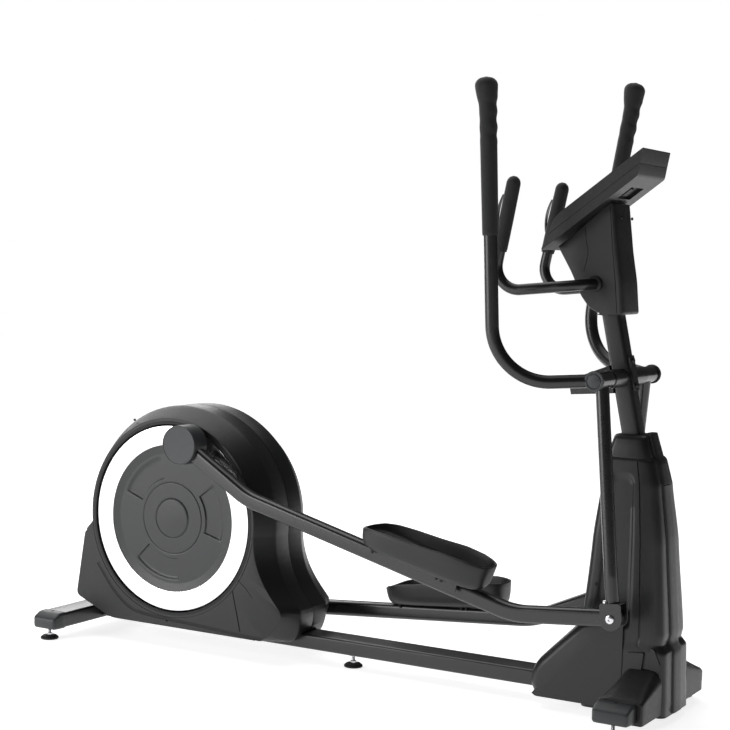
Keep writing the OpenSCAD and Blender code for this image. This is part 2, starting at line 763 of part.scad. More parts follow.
module housing_shell() difference() {
    housing_body(0);
    housing_body(cover_wall);
    bar_y(crank_x, crank_h, -housing_half_w - 5, 10 - housing_half_w, opening_r);
    block(rear_x - 10, pivot_x, -rail_w / 2 - seat_gap, 1, 0, rail_top + seat_gap);
    block(rear_x - 10, rail_start + seat_gap, -300, 1, 0, rear_beam_top + cap_lip + seat_gap);
    translate([inlet_x, -inlet_w / 2 - seat_gap, inlet_h]) cube([inlet_out + 4, inlet_w + 2 * seat_gap, inlet_d + 2 * seat_gap]);
}

module housing_right() color("#232527") intersection() {
    housing_shell();
    block(rear_x, front_x, -300, -0.1, 0, 900);
}
module housing_left() color("#232527") mirror([0, 1, 0]) intersection() {
    housing_shell();
    block(rear_x, front_x, -300, -0.1, 0, 900);
}

// Socket for the mains adapter, in the housing's rear wall
inlet_bore_r = 2.85;
inlet_bore_len = 12;
inlet_w = 26;
inlet_d = 18;
inlet_h = 200;
inlet_out = 38;
inlet_x = crank_x - housing_r - inlet_out;
module power_inlet() color("#101010") difference() {
    translate([inlet_x + 2, -inlet_w / 2, inlet_h + seat_gap]) cube([inlet_out - 2, inlet_w, inlet_d]);
    translate([inlet_x, 0, inlet_h + seat_gap + inlet_d / 2]) rotate([0, 90, 0])
        cylinder(r = inlet_bore_r, h = 2 + inlet_bore_len);
}

// ---------- Swing links and moving handlebars ----------

link_r = 18;
link_top_y = 158;
bushing_y0 = cross_half + side_gap;
bushing_y1 = 206;
link_bend_h = 110;
link_bend_r = 200;
clevis_gap = arm_w / 2 + seat_gap;
clevis_t = 5;
clevis_r = 31;
clevis_top = 41;
pivot_cap_r = bushing_r + 4;
pivot_cap_end = 214;

function joint3(s) = [lower_joint(s).x, arm_y, lower_joint(s).y];
function pivot3(y) = [pivot_x, y, pivot_h];
function link_dir(s) = unit([pivot_x - lower_joint(s).x, 0, pivot_h - lower_joint(s).y]);

module swing_link(s) color("#2c2e30") on_side(s) {
    j = joint3(s);
    u = link_dir(s);
    difference() {
        union() {
            bent_tube([pivot3(link_top_y), j + link_bend_h * u, j + (clevis_top - 3) * u], link_bend_r,
                      ring_points(link_r, 20), ring_points(link_r - tube_wall, 20), 4);
            bar_y(pivot_x, pivot_h, bushing_y0, bushing_y1, bushing_r);
        }
        bar_y(pivot_x, pivot_h, 0, 300, pivot_r + run_fit);
    }
    in_frame(cross([0, 1, 0], u), [0, 1, 0], u, j) {
        for (y = [-clevis_gap - clevis_t, clevis_gap]) slab_y(y, y + clevis_t) {
            circle(clevis_r);
            translate([-28, 0]) square([clevis_r + 28, clevis_top]);
        }
        block(-28, clevis_r, -clevis_gap - clevis_t, clevis_gap + clevis_t, clevis_top - clevis_t, clevis_top);
        bar_y(0, 0, -clevis_gap - clevis_t - 5, clevis_gap + clevis_t + 1, joint_bolt_r);
        bar_y(0, 0, clevis_gap + clevis_t, clevis_gap + clevis_t + 4, joint_bolt_r + 3);
        bar_y(0, 0, -clevis_gap - clevis_t - 5, -clevis_gap - clevis_t, joint_bolt_r + 4);
    }
}
module left_link() swing_link(LEFT);
module right_link() swing_link(RIGHT);

handle_foot_y = 184;
handle_dip = 17;
handle_lean = 2.8;
handle_bend_r = 150;
handle_dir = unit([-handle_reach, handle_spread, 0]);
handle_foot = pivot3(handle_foot_y);
handle_corner = handle_foot + norm([handle_reach, handle_spread]) * handle_dir - [0, 0, handle_dip];
handle_up = unit(handle_dir * tan(handle_lean) + [0, 0, 1]);
handle_top = handle_corner + handle_up * (handle_rise + handle_dip) / handle_up.z;
handle_normal = cross(handle_dir, [0, 0, 1]);

// A handlebar turns with its link, so the left one leans further forward at rest
function link_tilt(s) = atan2(link_dir(s).x, link_dir(s).z);
module with_link(s) on_side(s) translate([pivot_x, 0, pivot_h])
    rotate([0, link_tilt(s) - link_tilt(RIGHT), 0]) translate([-pivot_x, 0, -pivot_h]) children();

module moving_handlebar() color("#202224") difference() {
    bent_tube([handle_foot, handle_corner, handle_top - 12 * handle_up], handle_bend_r,
              ring_points(handle_r, 24), ring_points(handle_r - tube_wall, 24), 10, handle_normal);
    bar_y(pivot_x, pivot_h, 100, 300, bushing_r);
    bar_y(pivot_x, pivot_h, bushing_y1, 300, pivot_cap_r + seat_gap);
}

// Foam grip with a rounded knob at its top, round the handlebar's tube
module moving_grip() color("#161616")
    in_frame(cross(handle_normal, handle_up), handle_normal, handle_up, handle_top - grip_len * handle_up)
        rotate_extrude() {
            translate([handle_r, 0]) square([grip_t, grip_len - 30]);
            polygon([
                [handle_r, grip_len - 30], [handle_r + grip_t, grip_len - 30],
                [handle_r + grip_t + 7, grip_len - 22], [handle_r + grip_t + 9, grip_len - 14],
                [handle_r + grip_t + 6, grip_len - 5], [handle_r - 4, grip_len], [0, grip_len],
                [0, grip_len - 10], [handle_r, grip_len - 10]
            ]);
        }

module pivot_cap() color("#2a2c2e") translate([pivot_x, bushing_y1, pivot_h]) rotate([-90, 0, 0])
    rotate_extrude() polygon([
        [0, 2], [pivot_r + 3, 2], [pivot_r + 3, 0], [pivot_cap_r, 0], [pivot_cap_r, pivot_cap_end - bushing_y1 - 2],
        [pivot_cap_r - 2, pivot_cap_end - bushing_y1], [pivot_cap_r - 7, pivot_cap_end - bushing_y1],
        [pivot_cap_r - 8, pivot_cap_end - bushing_y1 - 1], [pivot_cap_r - 9, pivot_cap_end - bushing_y1],
        [0, pivot_cap_end - bushing_y1]
    ]);

module left_handlebar() with_link(LEFT) moving_handlebar();
module right_handlebar() with_link(RIGHT) moving_handlebar();
module left_grip() with_link(LEFT) moving_grip();
module right_grip() with_link(RIGHT) moving_grip();
module left_pivot_cap() on_side(LEFT) pivot_cap();
module right_pivot_cap() on_side(RIGHT) pivot_cap();

// ---------- Pedal arms ----------

// A pedal arm's own frame: X from the crank pin to the lower joint, Z square to it
module arm_frame(s) on_side(s)
    translate([crank_pin(s).x, 0, crank_pin(s).y]) rotate([0, -arm_tilt(s), 0]) children();

arm_bend_x = 262;
arm_drop = 82;
arm_low_x = arm_len - 272;
arm_low_drop = 94;
arm_bend_r = 240;
joint_sleeve_r = 22;
arm_corner = 12;
housing_y0 = boss_end + 5;
bearing_house_r = 38;
cap_y0 = boss_end + 2.5;
cap_y1 = housing_half_w + 81;
cap_t = 4;

module pedal_arm(s) color("#34373a") arm_frame(s) difference() {
    union() {
        bent_tube([[0, arm_y, 0], [arm_bend_x, arm_y, -arm_drop], [arm_low_x, arm_y, -arm_low_drop],
                   [arm_len, arm_y, 0]], arm_bend_r, square_points(arm_tube_h, arm_w, arm_corner),
                  square_points(arm_tube_h - 2 * tube_wall, arm_w - 2 * tube_wall, arm_corner - tube_wall), 5);
        bar_y(0, 0, housing_y0, arm_y + arm_w / 2, bearing_house_r);
        bar_y(arm_len, 0, arm_y - arm_w / 2, arm_y + arm_w / 2, joint_sleeve_r);
    }
    bar_y(0, 0, 0, arm_y + arm_w / 2 - 6, pin_r);
    bar_y(arm_len, 0, 0, 300, joint_bolt_r + run_fit);
    // nothing of the tube passes the joint's sleeve
    difference() {
        block(arm_len, arm_len + 60, 0, 300, -80, 80);
        bar_y(arm_len, 0, 0, 300, joint_sleeve_r);
    }
}

// Round cap over the crank pin's bearing, with a mouth for the arm's tube
module crank_cap(s) color("#2e3134") arm_frame(s) difference() {
    bar_y(0, 0, cap_y0, cap_y1, crank_cap_r);
    bar_y(0, 0, cap_y0 - 1, cap_y1 - cap_t, crank_cap_r - cap_t);
    rotate([0, atan2(arm_drop, arm_bend_x), 0])
        block(0, crank_cap_r + 20, arm_y - arm_w / 2 - seat_gap, arm_y + arm_w / 2 + seat_gap,
              -arm_tube_h / 2 - seat_gap, arm_tube_h / 2 + seat_gap);
}

module left_pedal_arm() pedal_arm(LEFT);
module right_pedal_arm() pedal_arm(RIGHT);
module left_crank_cap() crank_cap(LEFT);
module right_crank_cap() crank_cap(RIGHT);

// ---------- Pedals ----------

pedal_out = 14;
pedal_y = arm_y + pedal_out;
pedal_seat = arm_tube_h / 2 - arm_drop - 4;
pedal_floor = 38;
pedal_fall = 30 / 400;
// Rim of the pedal: share of its length, and height above the seat
pedal_rim = [[0, 46], [0.06, 55], [0.15, 61], [0.3, 65], [0.5, 69], [0.7, 76], [0.85, 75], [1, 69]];
pad_t = 6;

function pedal_plan(w, e) = rounded_points(pedal_start + e, pedal_start + pedal_len - e, w - pedal_w / 2, pedal_w / 2 - w,
                                           46, 8);

// Children stand on the pedal's floor, which falls towards the front
module pedal_slope() translate([0, pedal_y, pedal_seat + pedal_floor])
    multmatrix([[1, 0, 0, 0], [0, 1, 0, 0], [-pedal_fall, 0, 1, pedal_fall * pedal_start], [0, 0, 0, 1]])
        children();

// Tub with an even rim that is a little lower at the heel
module pedal_tub(s) color("#1f2123") arm_frame(s) difference() {
    intersection() {
        difference() {
            translate([0, pedal_y, 0]) skin([
                [pedal_seat, pedal_plan(14, 26)], [pedal_seat + 26, pedal_plan(4, 8)],
                [pedal_seat + 60, pedal_plan(0, 2)], [pedal_seat + 82, pedal_plan(0, 0)]
            ]);
            pedal_slope() skin([
                [0, pedal_plan(12 + pedal_wall, 24 + pedal_wall)], [20, pedal_plan(4 + pedal_wall, 7 + pedal_wall)],
                [50, pedal_plan(pedal_wall, 2 + pedal_wall)], [110, pedal_plan(pedal_wall, pedal_wall)]
            ]);
        }
        slab_y(pedal_y - pedal_w, pedal_y + pedal_w) polygon(concat(
            [[pedal_start - 5, pedal_seat - 5], [pedal_start + pedal_len + 5, pedal_seat - 5],
             [pedal_start + pedal_len + 5, pedal_seat + pedal_rim[7].y]],
            [for (i = [7 : -1 : 0]) [pedal_start + pedal_len * pedal_rim[i].x, pedal_seat + pedal_rim[i].y]],
            [[pedal_start - 5, pedal_seat + pedal_rim[0].y]]
        ));
    }
}

// Perforated insert that lies on the pedal's floor
module pedal_pad(s) color("#3b3d40") arm_frame(s) pedal_slope() difference() {
    translate([0, 0, 0.2]) linear_extrude(pad_t)
        polygon(rounded_points(pedal_start + 44, pedal_start + pedal_len - 44, 30 - pedal_w / 2, pedal_w / 2 - 30, 28, 8));
    for (i = [0 : 7], j = [-1.5 : 1.5])
        translate([pedal_start + 74 + i * 24, j * 20, 2]) cylinder(r = 4, h = 20, $fn = 16);
}

module left_pedal() pedal_tub(LEFT);
module right_pedal() pedal_tub(RIGHT);
module left_pedal_pad() pedal_pad(LEFT);
module right_pedal_pad() pedal_pad(RIGHT);

// ---------- Console, neck and fixed handlebar ----------

console_low = [pivot_x - 214, pivot_h + 337];
under_len = display_len + 29;
along = [cos(console_tilt), sin(console_tilt)];
square_up = [-sin(console_tilt), cos(console_tilt)];
under_end = console_low + under_len * along;
display_end = under_end + [14, 75] * (console_t / 51);
display_start = display_end - display_len * along;
split_t = 0.45;
screen_from = 120;
screen_len = 160;
screen_w = console_w - 44;
screen_t = 3;
bezel_t = 4;
button_r = 10;
button_h = 7;
button_gap = 0.6;
button_travel = 1.5;
button_at = 62;

// Side view of the console between two levels, 0 at the underside and 1 at the display
function console_side(t0, t1) =
    let (a = console_low, b = under_end, c = display_end, d = display_start)
    t1 < 1
        ? [a + (d - a) * t0, b + (c - b) * t0, b + (c - b) * t1, a + (d - a) * t1]
        : concat([a + (d - a) * t0, b + (c - b) * t0, c, d]);

module console_slab(t0, t1, inset) slab_y(inset - console_w / 2, console_w / 2 - inset)
    polygon(console_side(t0, t1));

// Frame on the display face: X along it from its low end, Y across, Z out of it
module on_display()
    in_frame([along.x, 0, along.y], [0, 1, 0], [square_up.x, 0, square_up.y], [display_start.x, 0, display_start.y])
        children();

module button_wells(r) on_display() for (y = [-45, 0, 45])
    translate([button_at, y, -button_h - button_travel - 1]) cylinder(r = r, h = 40);

module console_back() color("#1e2022") difference() {
    console_slab(0, split_t, 0);
    difference() {
        console_slab(0.07, split_t + 0.05, cover_wall);
        slab_y(-200, 200) polygon([under_end, display_end, display_end - 4 * along, under_end - 4 * along]);
    }
    // finger recess in the underside
    in_frame([along.x, 0, along.y], [0, 1, 0], [square_up.x, 0, square_up.y], [under_end.x, 0, under_end.y])
        block(-96, -46, -44, 44, -5, 3.2);
    straight(mast_at(mast_top_h - 120), mast_at(mast_top_h + 20))
        rounded(mast_w + 2, mast_w + 2, mast_corner);
}

module console_front() color("#26282b") difference() {
    console_slab(split_t, 1, 0);
    difference() {
        console_slab(split_t - 0.05, 0.9, cover_wall);
        slab_y(-200, 200) polygon([under_end, display_end, display_end - 4 * along, under_end - 4 * along]);
    }
    on_display() translate([screen_from, -screen_w / 2 - 0.2, -screen_t - bezel_t])
        cube([screen_len, screen_w + 0.4, 40]);
    button_wells(button_r + button_gap);
}

module console_screen() color("#0d1114")
    on_display() translate([screen_from + 0.2, -screen_w / 2, -screen_t - bezel_t])
        cube([screen_len - 0.4, screen_w, screen_t]);

module console_button(y, c) color(c) on_display() translate([button_at, y, 2.5 - button_h])
    cylinder(r = button_r, h = button_h);
module start_button() console_button(0, "#b03a2e");
module up_button() console_button(-45, "#8a8d90");
module down_button() console_button(45, "#8a8d90");

neck_half = 60;
function neck_points(i) =
    let (
        top = console_low + 34 * along,
        front_top = console_low + (under_len - 102) * along
    )
    [
        [pivot_x - 43 - i * 0.2, pivot_h + 166 + (i > 0 ? -1 : 0)],
        [pivot_x + 16 - i, pivot_h + 172 + (i > 0 ? -1 : 0)],
        [pivot_x + 4 - i, pivot_h + 280], front_top + [-i, i > 0 ? 1 : 0], top + [i, i > 0 ? 1 : 0],
        [pivot_x - 140 + i, pivot_h + 277], [pivot_x - 117 + i, pivot_h + 224 + i],
        [pivot_x - 87 + i, pivot_h + 186 + i]
    ];

// Two-part cover between the mast and the console
module neck_cover() color("#1c1e20") difference() {
    rotate([90, 0, 0]) skin([
        [-neck_half, neck_inset(9)], [9 - neck_half, neck_inset(0)],
        [neck_half - 9, neck_inset(0)], [neck_half, neck_inset(9)]
    ]);
    slab_y(cover_wall - neck_half, neck_half - cover_wall) polygon(neck_points(cover_wall + 4));
    straight(mast_at(pivot_h), mast_at(mast_top_h + 60)) rounded(mast_w + 2, mast_w + 2, mast_corner);
    slab_y(-200, 200) polygon([
        console_low - 60 * along, under_end + 60 * along, under_end + 60 * along + 80 * square_up,
        console_low - 60 * along + 80 * square_up
    ]);
    both_sides() straight(fixed_path[0], fixed_path[1]) circle(fixed_r + seat_gap);
}

// The neck's outline drawn in by i at its front and rear, for its rounded sides
function neck_inset(i) = [
    for (p = neck_points(0))
        let (mid = pivot_x - 50 - (p.y - pivot_h - 200) * 0.25)
        [p.x + (p.x > mid ? -i : i), p.y]
];

fixed_bend_r = 62;
fixed_path = [
    [pivot_x - 55, 0, pivot_h + 255], [pivot_x - 93, fixed_half_w - 5, pivot_h + 246],
    [pivot_x - 331, fixed_half_w, pivot_h + 222], [pivot_x - 268, fixed_half_w + 8, pivot_h + 535]
];
fixed_up = unit(fixed_path[3] - fixed_path[2]);
fixed_grip_len = 205;

module fixed_handlebar() color("#1b1c1e") difference() {
    both_sides() bent_tube([fixed_path[0], fixed_path[1], fixed_path[2], fixed_path[3] - 8 * fixed_up],
                           fixed_bend_r, ring_points(fixed_r, 20), ring_points(fixed_r - tube_wall, 20), 8);
    block(pivot_x - 200, pivot_x + 100, -mast_w / 2, mast_w / 2, pivot_h + 100, pivot_h + 400);
}

module fixed_grips() color("#151515") both_sides()
    in_frame(unit(cross([0, 1, 0], fixed_up)), unit(cross(fixed_up, cross([0, 1, 0], fixed_up))), fixed_up,
             fixed_path[3] - fixed_grip_len * fixed_up)
        rotate_extrude() {
            translate([fixed_r, 0]) square([grip_t + 1, fixed_grip_len - 10]);
            polygon([
                [fixed_r, fixed_grip_len - 10], [fixed_r + grip_t + 1, fixed_grip_len - 10],
                [fixed_r + grip_t - 1, fixed_grip_len - 2], [fixed_r - 2, fixed_grip_len],
                [0, fixed_grip_len], [0, fixed_grip_len - 6], [fixed_r, fixed_grip_len - 6]
            ]);
        }

// Thin pulse plates behind the fixed grips
module pulse_plates() color("silver") both_sides()
    in_frame(unit(cross([0, 1, 0], fixed_up)), unit(cross(fixed_up, cross([0, 1, 0], fixed_up))), fixed_up,
             fixed_path[3] - (fixed_grip_len - 50) * fixed_up)
        rotate(135) rotate_extrude(angle = 90) translate([fixed_r + grip_t + 1.2, 0]) square([1.5, 90]);

// Middle foot's nut, and the bolts that hold the drive frame to the rail
module fasteners() color("#8b8e91") {
    rail_nut() difference() {
        cylinder(r = nut_r, h = nut_h);
        translate([0, 0, -1]) cylinder(r = stem_r + run_fit, h = nut_h + 2);
    }
    for (x = [crank_x - 104, fly_x + 94], y = [-30, 30])
        translate([x, y, base_top]) cylinder(r = 5, h = 5);
}

main_rail();
rear_beam();
front_beam();
beam_end_caps();
base_post();
mast();
pivot_tube();
pivot_axle();
pivot_saddle();
shroud_left();
shroud_right();
shroud_collar();
foot_covers();
drive_frame();
bearings();
housing_left();
housing_right();
drive_belt();
brake_servo();
power_inlet();
console_back();
console_front();
console_screen();
neck_cover();
fixed_handlebar();
fixed_grips();
pulse_plates();
fasteners();
crank_axle();
crank_arms();
crank_disks();
crank_rings();
hub_caps();
drive_pulley();
flywheel();
brake_carrier();
left_link();
left_handlebar();
left_grip();
left_pivot_cap();
right_link();
right_handlebar();
right_grip();
right_pivot_cap();
left_pedal_arm();
left_crank_cap();
left_pedal();
left_pedal_pad();
right_pedal_arm();
right_crank_cap();
right_pedal();
right_pedal_pad();
foot_rear_left();
foot_rear_right();
foot_front_left();
foot_front_right();
foot_middle();
start_button();
up_button();
down_button();
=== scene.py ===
"""Finishes of the elliptical trainer: smooth covers, foam grips, pedals, bright rings and the stage."""
import json
import math

import bmesh
import bpy
from bpy.props import FloatProperty, FloatVectorProperty, IntProperty, PointerProperty
from mathutils import Matrix, Vector


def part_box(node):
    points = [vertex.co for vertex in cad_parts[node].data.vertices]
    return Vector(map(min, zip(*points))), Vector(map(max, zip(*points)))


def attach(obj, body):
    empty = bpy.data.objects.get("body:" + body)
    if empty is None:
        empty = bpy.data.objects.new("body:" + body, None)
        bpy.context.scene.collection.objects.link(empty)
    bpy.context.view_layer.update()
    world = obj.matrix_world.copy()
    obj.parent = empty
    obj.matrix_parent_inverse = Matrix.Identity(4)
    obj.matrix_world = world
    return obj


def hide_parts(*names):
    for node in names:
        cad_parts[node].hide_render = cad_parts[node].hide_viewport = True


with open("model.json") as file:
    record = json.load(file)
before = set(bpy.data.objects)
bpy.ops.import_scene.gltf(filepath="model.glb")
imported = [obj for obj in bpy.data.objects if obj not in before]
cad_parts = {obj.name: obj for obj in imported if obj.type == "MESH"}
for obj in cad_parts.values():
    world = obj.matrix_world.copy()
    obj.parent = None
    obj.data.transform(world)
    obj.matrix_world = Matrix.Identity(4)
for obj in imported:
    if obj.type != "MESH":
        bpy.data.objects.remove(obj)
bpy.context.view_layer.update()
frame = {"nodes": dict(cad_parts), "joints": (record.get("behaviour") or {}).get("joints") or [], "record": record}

bl_info = {
    "name": "Elliptical trainer",
    "version": (1, 0, 0),
    "blender": (4, 5, 0),
    "location": "View3D > Sidebar > Trainer",
    "description": "Builds the visible pieces of a rear-drive elliptical trainer round its frame",
    "category": "Object",
}

MM = 0.001
LEFT, RIGHT = 1, -1
SIDES = {"left": LEFT, "right": RIGHT}
ROOT = "trainer"
BEAMS = ("rear_beam", "front_beam")
BAR_R = 18 * MM          # handlebars and links
SHROUD_WALL = 2.5 * MM
PANEL_EASE = 2.6 * MM    # eased edges of the console
FORK_OUTSIDE = 25.5 * MM  # outside of a fork
MAST_SIZE = 52 * MM
MAST_LEAN = 12.2         # degrees
GRIP_LEN = 414 * MM


# ---------- Places taken from the frame ----------

def joint_place(name):
    return Vector(next(j["pos_m"] for j in frame["joints"] if j["name"] == name))


def box_mid(node):
    low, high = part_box(node)
    return (low + high) / 2


CRANK = joint_place("crank_spin")
PIVOT = joint_place("right_swing")


def pin_place(side_name):
    mid = box_mid(side_name + "_crank_cap")
    return Vector((mid.x, 0, mid.z))


def arm_matrix(side_name):
    """The pedal arm's own frame: X from the crank pin to the lower joint, Z square to it."""
    pin = pin_place(side_name)
    way = joint_place(side_name + "_pedal_arm") - pin
    way.y = 0
    way.normalize()
    return Matrix(((way.x, 0, -way.z, pin.x), (0, 1, 0, 0), (way.z, 0, way.x, pin.z), (0, 0, 0, 1)))


# ---------- Sizes and colours a user would change ----------

def length(name, description, default, low=0.0, high=3.0):
    return FloatProperty(name=name, description=description, default=default, min=low, max=high,
                         subtype="DISTANCE", unit="LENGTH")


def colour(name, description, value):
    return FloatVectorProperty(name=name, description=description, default=value, size=3, min=0, max=1,
                               subtype="COLOR")


class TrainerHousing(bpy.types.PropertyGroup):
    rim_half: length("Rim half width", "Half width of the housing's widest rim", 72 * MM)
    bevel: length("Bevel", "Step from the widest outline in to the side face", 38 * MM)
    opening: length("Opening", "Radius of the round opening in the side face", 291 * MM)
    flange: length("Flange", "Width of the raised band round the opening", 15 * MM)
    wall: length("Wall", "Thickness of the moulded covers", 2.5 * MM)


class TrainerCrank(bpy.types.PropertyGroup):
    dish: length("Dish radius", "Radius where the disk's face starts to rise to the ring", 202 * MM)
    ring_inner: length("Ring inner radius", "Inner radius of the bright ring", 227 * MM)
    ring_outer: length("Ring outer radius", "Outer radius of the bright ring", 286 * MM)
    hub_groove: length("Hub groove", "Radius of the inner groove", 62 * MM)
    spoke_groove: length("Spoke groove", "Radius of the outer groove", 110 * MM)
    pocket_depth: length("Pocket depth", "Depth of the pockets between the spokes", 5 * MM)


class TrainerGrips(bpy.types.PropertyGroup):
    foam: length("Foam", "Radius of the foam on a moving handlebar", 21.5 * MM)
    wave: length("Finger wave", "Height of a finger wave", 1.5 * MM)
    waves: IntProperty(name="Waves", description="Finger waves on the upper half", default=3, min=0, max=9)
    knob: length("Knob", "Radius of the knob at the top", 30.5 * MM)


class TrainerPedals(bpy.types.PropertyGroup):
    wall: length("Wall", "Thickness of the pedal's wall", 6 * MM)
    dot: length("Dot", "Radius of a raised dot on the insert", 2.6 * MM)
    dot_step: length("Dot step", "Distance between dots", 14 * MM)


class TrainerColours(bpy.types.PropertyGroup):
    cover: colour("Cover", "Housing and shroud plastic", (0.014, 0.0145, 0.015))
    trim: colour("Trim", "Console and neck plastic", (0.011, 0.011, 0.0115))
    disk: colour("Disk", "Crank disks", (0.045, 0.047, 0.049))
    cap: colour("Cap", "Crank caps", (0.05, 0.053, 0.056))
    paint: colour("Paint", "Painted steel", (0.012, 0.012, 0.013))
    rail: colour("Rail", "Painted base", (0.016, 0.0165, 0.017))
    foam: colour("Foam", "Grips", (0.009, 0.009, 0.0095))
    pedal: colour("Pedal", "Pedals", (0.014, 0.0145, 0.015))
    dust: colour("Dust", "Dust that settles on top faces", (0.12, 0.12, 0.12))


class TrainerStage(bpy.types.PropertyGroup):
    camera_place: FloatVectorProperty(name="Camera place", description="Where the camera stands", size=3,
                                      default=(2.4895, -4.2658, 1.2115), subtype="TRANSLATION", unit="LENGTH")
    camera_turn: FloatVectorProperty(name="Camera turn", description="Pitch, roll and yaw of the camera",
                                     size=3, default=(-0.062, 0.026, 0.526), subtype="EULER", unit="ROTATION")
    lens: FloatProperty(name="Lens", description="Focal length on a 36 mm sensor", default=82.45,
                        subtype="DISTANCE_CAMERA")
    key: FloatProperty(name="Key light", description="Power of the large panel", default=130, unit="POWER")
    fill: FloatProperty(name="Back light", description="Power of the panel behind", default=60, unit="POWER")
    top: FloatProperty(name="Top light", description="Power of the overhead panel", default=30, unit="POWER")
    sky: FloatProperty(name="Sky light", description="Strength of the wide soft light", default=0.9)


# ---------- Outlines ----------

def polar(r, degrees):
    a = math.radians(degrees)
    return Vector((r * math.cos(a), r * math.sin(a)))


def arc(centre, r, start, stop, steps):
    return [Vector(centre) + polar(r, start + (stop - start) * k / steps) for k in range(steps + 1)]


def mm(*points):
    """Points given in millimetres, as places in metres."""
    return [tuple(v * MM for v in p) for p in points]


def circle_outline(r, count=48):
    return [polar(r, 360 * k / count) for k in range(count)]


def rect_outline(w, h, r, steps=6):
    corners = ((1, 1, 0), (-1, 1, 90), (-1, -1, 180), (1, -1, 270))
    return [p for sx, sy, a in corners
            for p in arc((sx * (w / 2 - r), sy * (h / 2 - r)), r, a, a + 90, steps)]


def bezier(a, b, c, d, steps):
    out = []
    for k in range(steps + 1):
        t = k / steps
        q = 1 - t
        out.append(a * q ** 3 + b * 3 * q * q * t + c * 3 * q * t * t + d * t ** 3)
    return out


def rounded(points, radius, steps=5, closed=True):
    """The same outline with its corners eased; radius may be one value or one per corner."""
    points = [Vector(p) for p in points]
    radii = radius if hasattr(radius, "__len__") else [radius] * len(points)
    out = []
    for i, p in enumerate(points):
        if not closed and i in (0, len(points) - 1):
            out.append(p)
            continue
        a, b = points[i - 1], points[(i + 1) % len(points)]
        cut = min(radii[i], 0.48 * (a - p).length, 0.48 * (b - p).length)
        start, stop = p + (a - p).normalized() * cut, p + (b - p).normalized() * cut
        for k in range(steps + 1):
            t = k / steps
            out.append(start * (1 - t) ** 2 + p * 2 * t * (1 - t) + stop * t * t)
    return out


def smooth_step(low, high, x):
    t = min(max((x - low) / (high - low), 0), 1)
    return t * t * (3 - 2 * t)


def stations(path, bend_r, steps=14, split=0.2):
    """Points and directions along a bent path, as the tube bender makes it."""
    path = [Vector(p) for p in path]
    out = [(path[0], (path[1] - path[0]).normalized())]

    def run(to, way):
        start = out[-1][0]
        count = max(1, math.ceil((to - start).length / split))
        for k in range(1, count + 1):
            out.append((start.lerp(to, k / count), way))

    for i in range(1, len(path) - 1):
        u, w = (path[i] - path[i - 1]).normalized(), (path[i + 1] - path[i]).normalized()
        turn = u.angle(w)
        centre = path[i] + (w - u).normalized() * bend_r / math.cos(turn / 2)
        start = path[i] - u * bend_r * math.tan(turn / 2)
        e = (start - centre).normalized()
        run(start, u)
        for k in range(1, steps + 1):
            a = turn * k / steps
            out.append((centre + bend_r * (e * math.cos(a) + u * math.sin(a)),
                        u * math.cos(a) - e * math.sin(a)))
    run(path[-1], (path[-1] - path[-2]).normalized())
    return out


# ---------- Meshes ----------

def loft(rings, caps=True, loop=False):
    """Vertices and faces through rings of equal length."""
    n = len(rings[0])
    verts = [Vector(p) for ring in rings for p in ring]
    spans = len(rings) if loop else len(rings) - 1
    faces = []
    for j in range(spans):
        a, b = j * n, (j + 1) % len(rings) * n
        faces += [(a + i, a + (i + 1) % n, b + (i + 1) % n, b + i) for i in range(n)]
    if caps and not loop:
        faces += [tuple(range(n))[::-1], tuple(range(len(verts) - n, len(verts)))]
    return verts, faces


def sheet_faces(rows, columns):
    return [(j * columns + i, j * columns + i + 1, (j + 1) * columns + i + 1, (j + 1) * columns + i)
            for j in range(rows - 1) for i in range(columns - 1)]


def merge(*shapes):
    verts, faces = [], []
    for v, f in shapes:
        faces += [tuple(i + len(verts) for i in face) for face in f]
        verts += list(v)
    return verts, faces


def moved(shape, matrix):
    return [matrix @ Vector(v) for v in shape[0]], shape[1]


def turned(profile, centre, axis=(0, 1, 0), count=96):
    """A solid of revolution: profile is (radius, distance along the axis), from centre."""
    axis = Vector(axis).normalized()
    rest = Vector((0, 0, 1)) if abs(axis.z) < 0.9 else Vector((1, 0, 0))
    x = axis.cross(rest).normalized()
    y = axis.cross(x)
    centre = Vector(centre)
    rings = [[centre + axis * h + (x * math.cos(a) + y * math.sin(a)) * max(r, 1e-6)
              for a in (2 * math.pi * k / count for k in range(count))] for r, h in profile]
    closed = (Vector(profile[0]) - Vector(profile[-1])).length < 1e-9
    return loft(rings[:-1] if closed else rings, caps=not closed, loop=closed)


def bar(path, outline, normal=(0, 1, 0), sizes=None):
    """A bar along stations; sizes scales the outline on the way."""
    normal = Vector(normal)
    rings = []
    for k, (place, way) in enumerate(path):
        y = (normal - way * normal.dot(way)).normalized()
        x = y.cross(way)
        scale = sizes[k] if sizes else 1
        rings.append([place + x * o.x * scale + y * o.y * scale for o in outline])
    return loft(rings)


def slab(outline, y0, y1):
    """An outline in X and Z carried from y0 to y1."""
    return loft([[Vector((p.x, y, p.y)) for p in outline] for y in (y0, y1)])


def block(low, high):
    xs, ys, zs = zip(low, high)
    ring = [(xs[0], ys[0]), (xs[1], ys[0]), (xs[1], ys[1]), (xs[0], ys[1])]
    return loft([[Vector((x, y, z)) for x, y in ring] for z in zs])


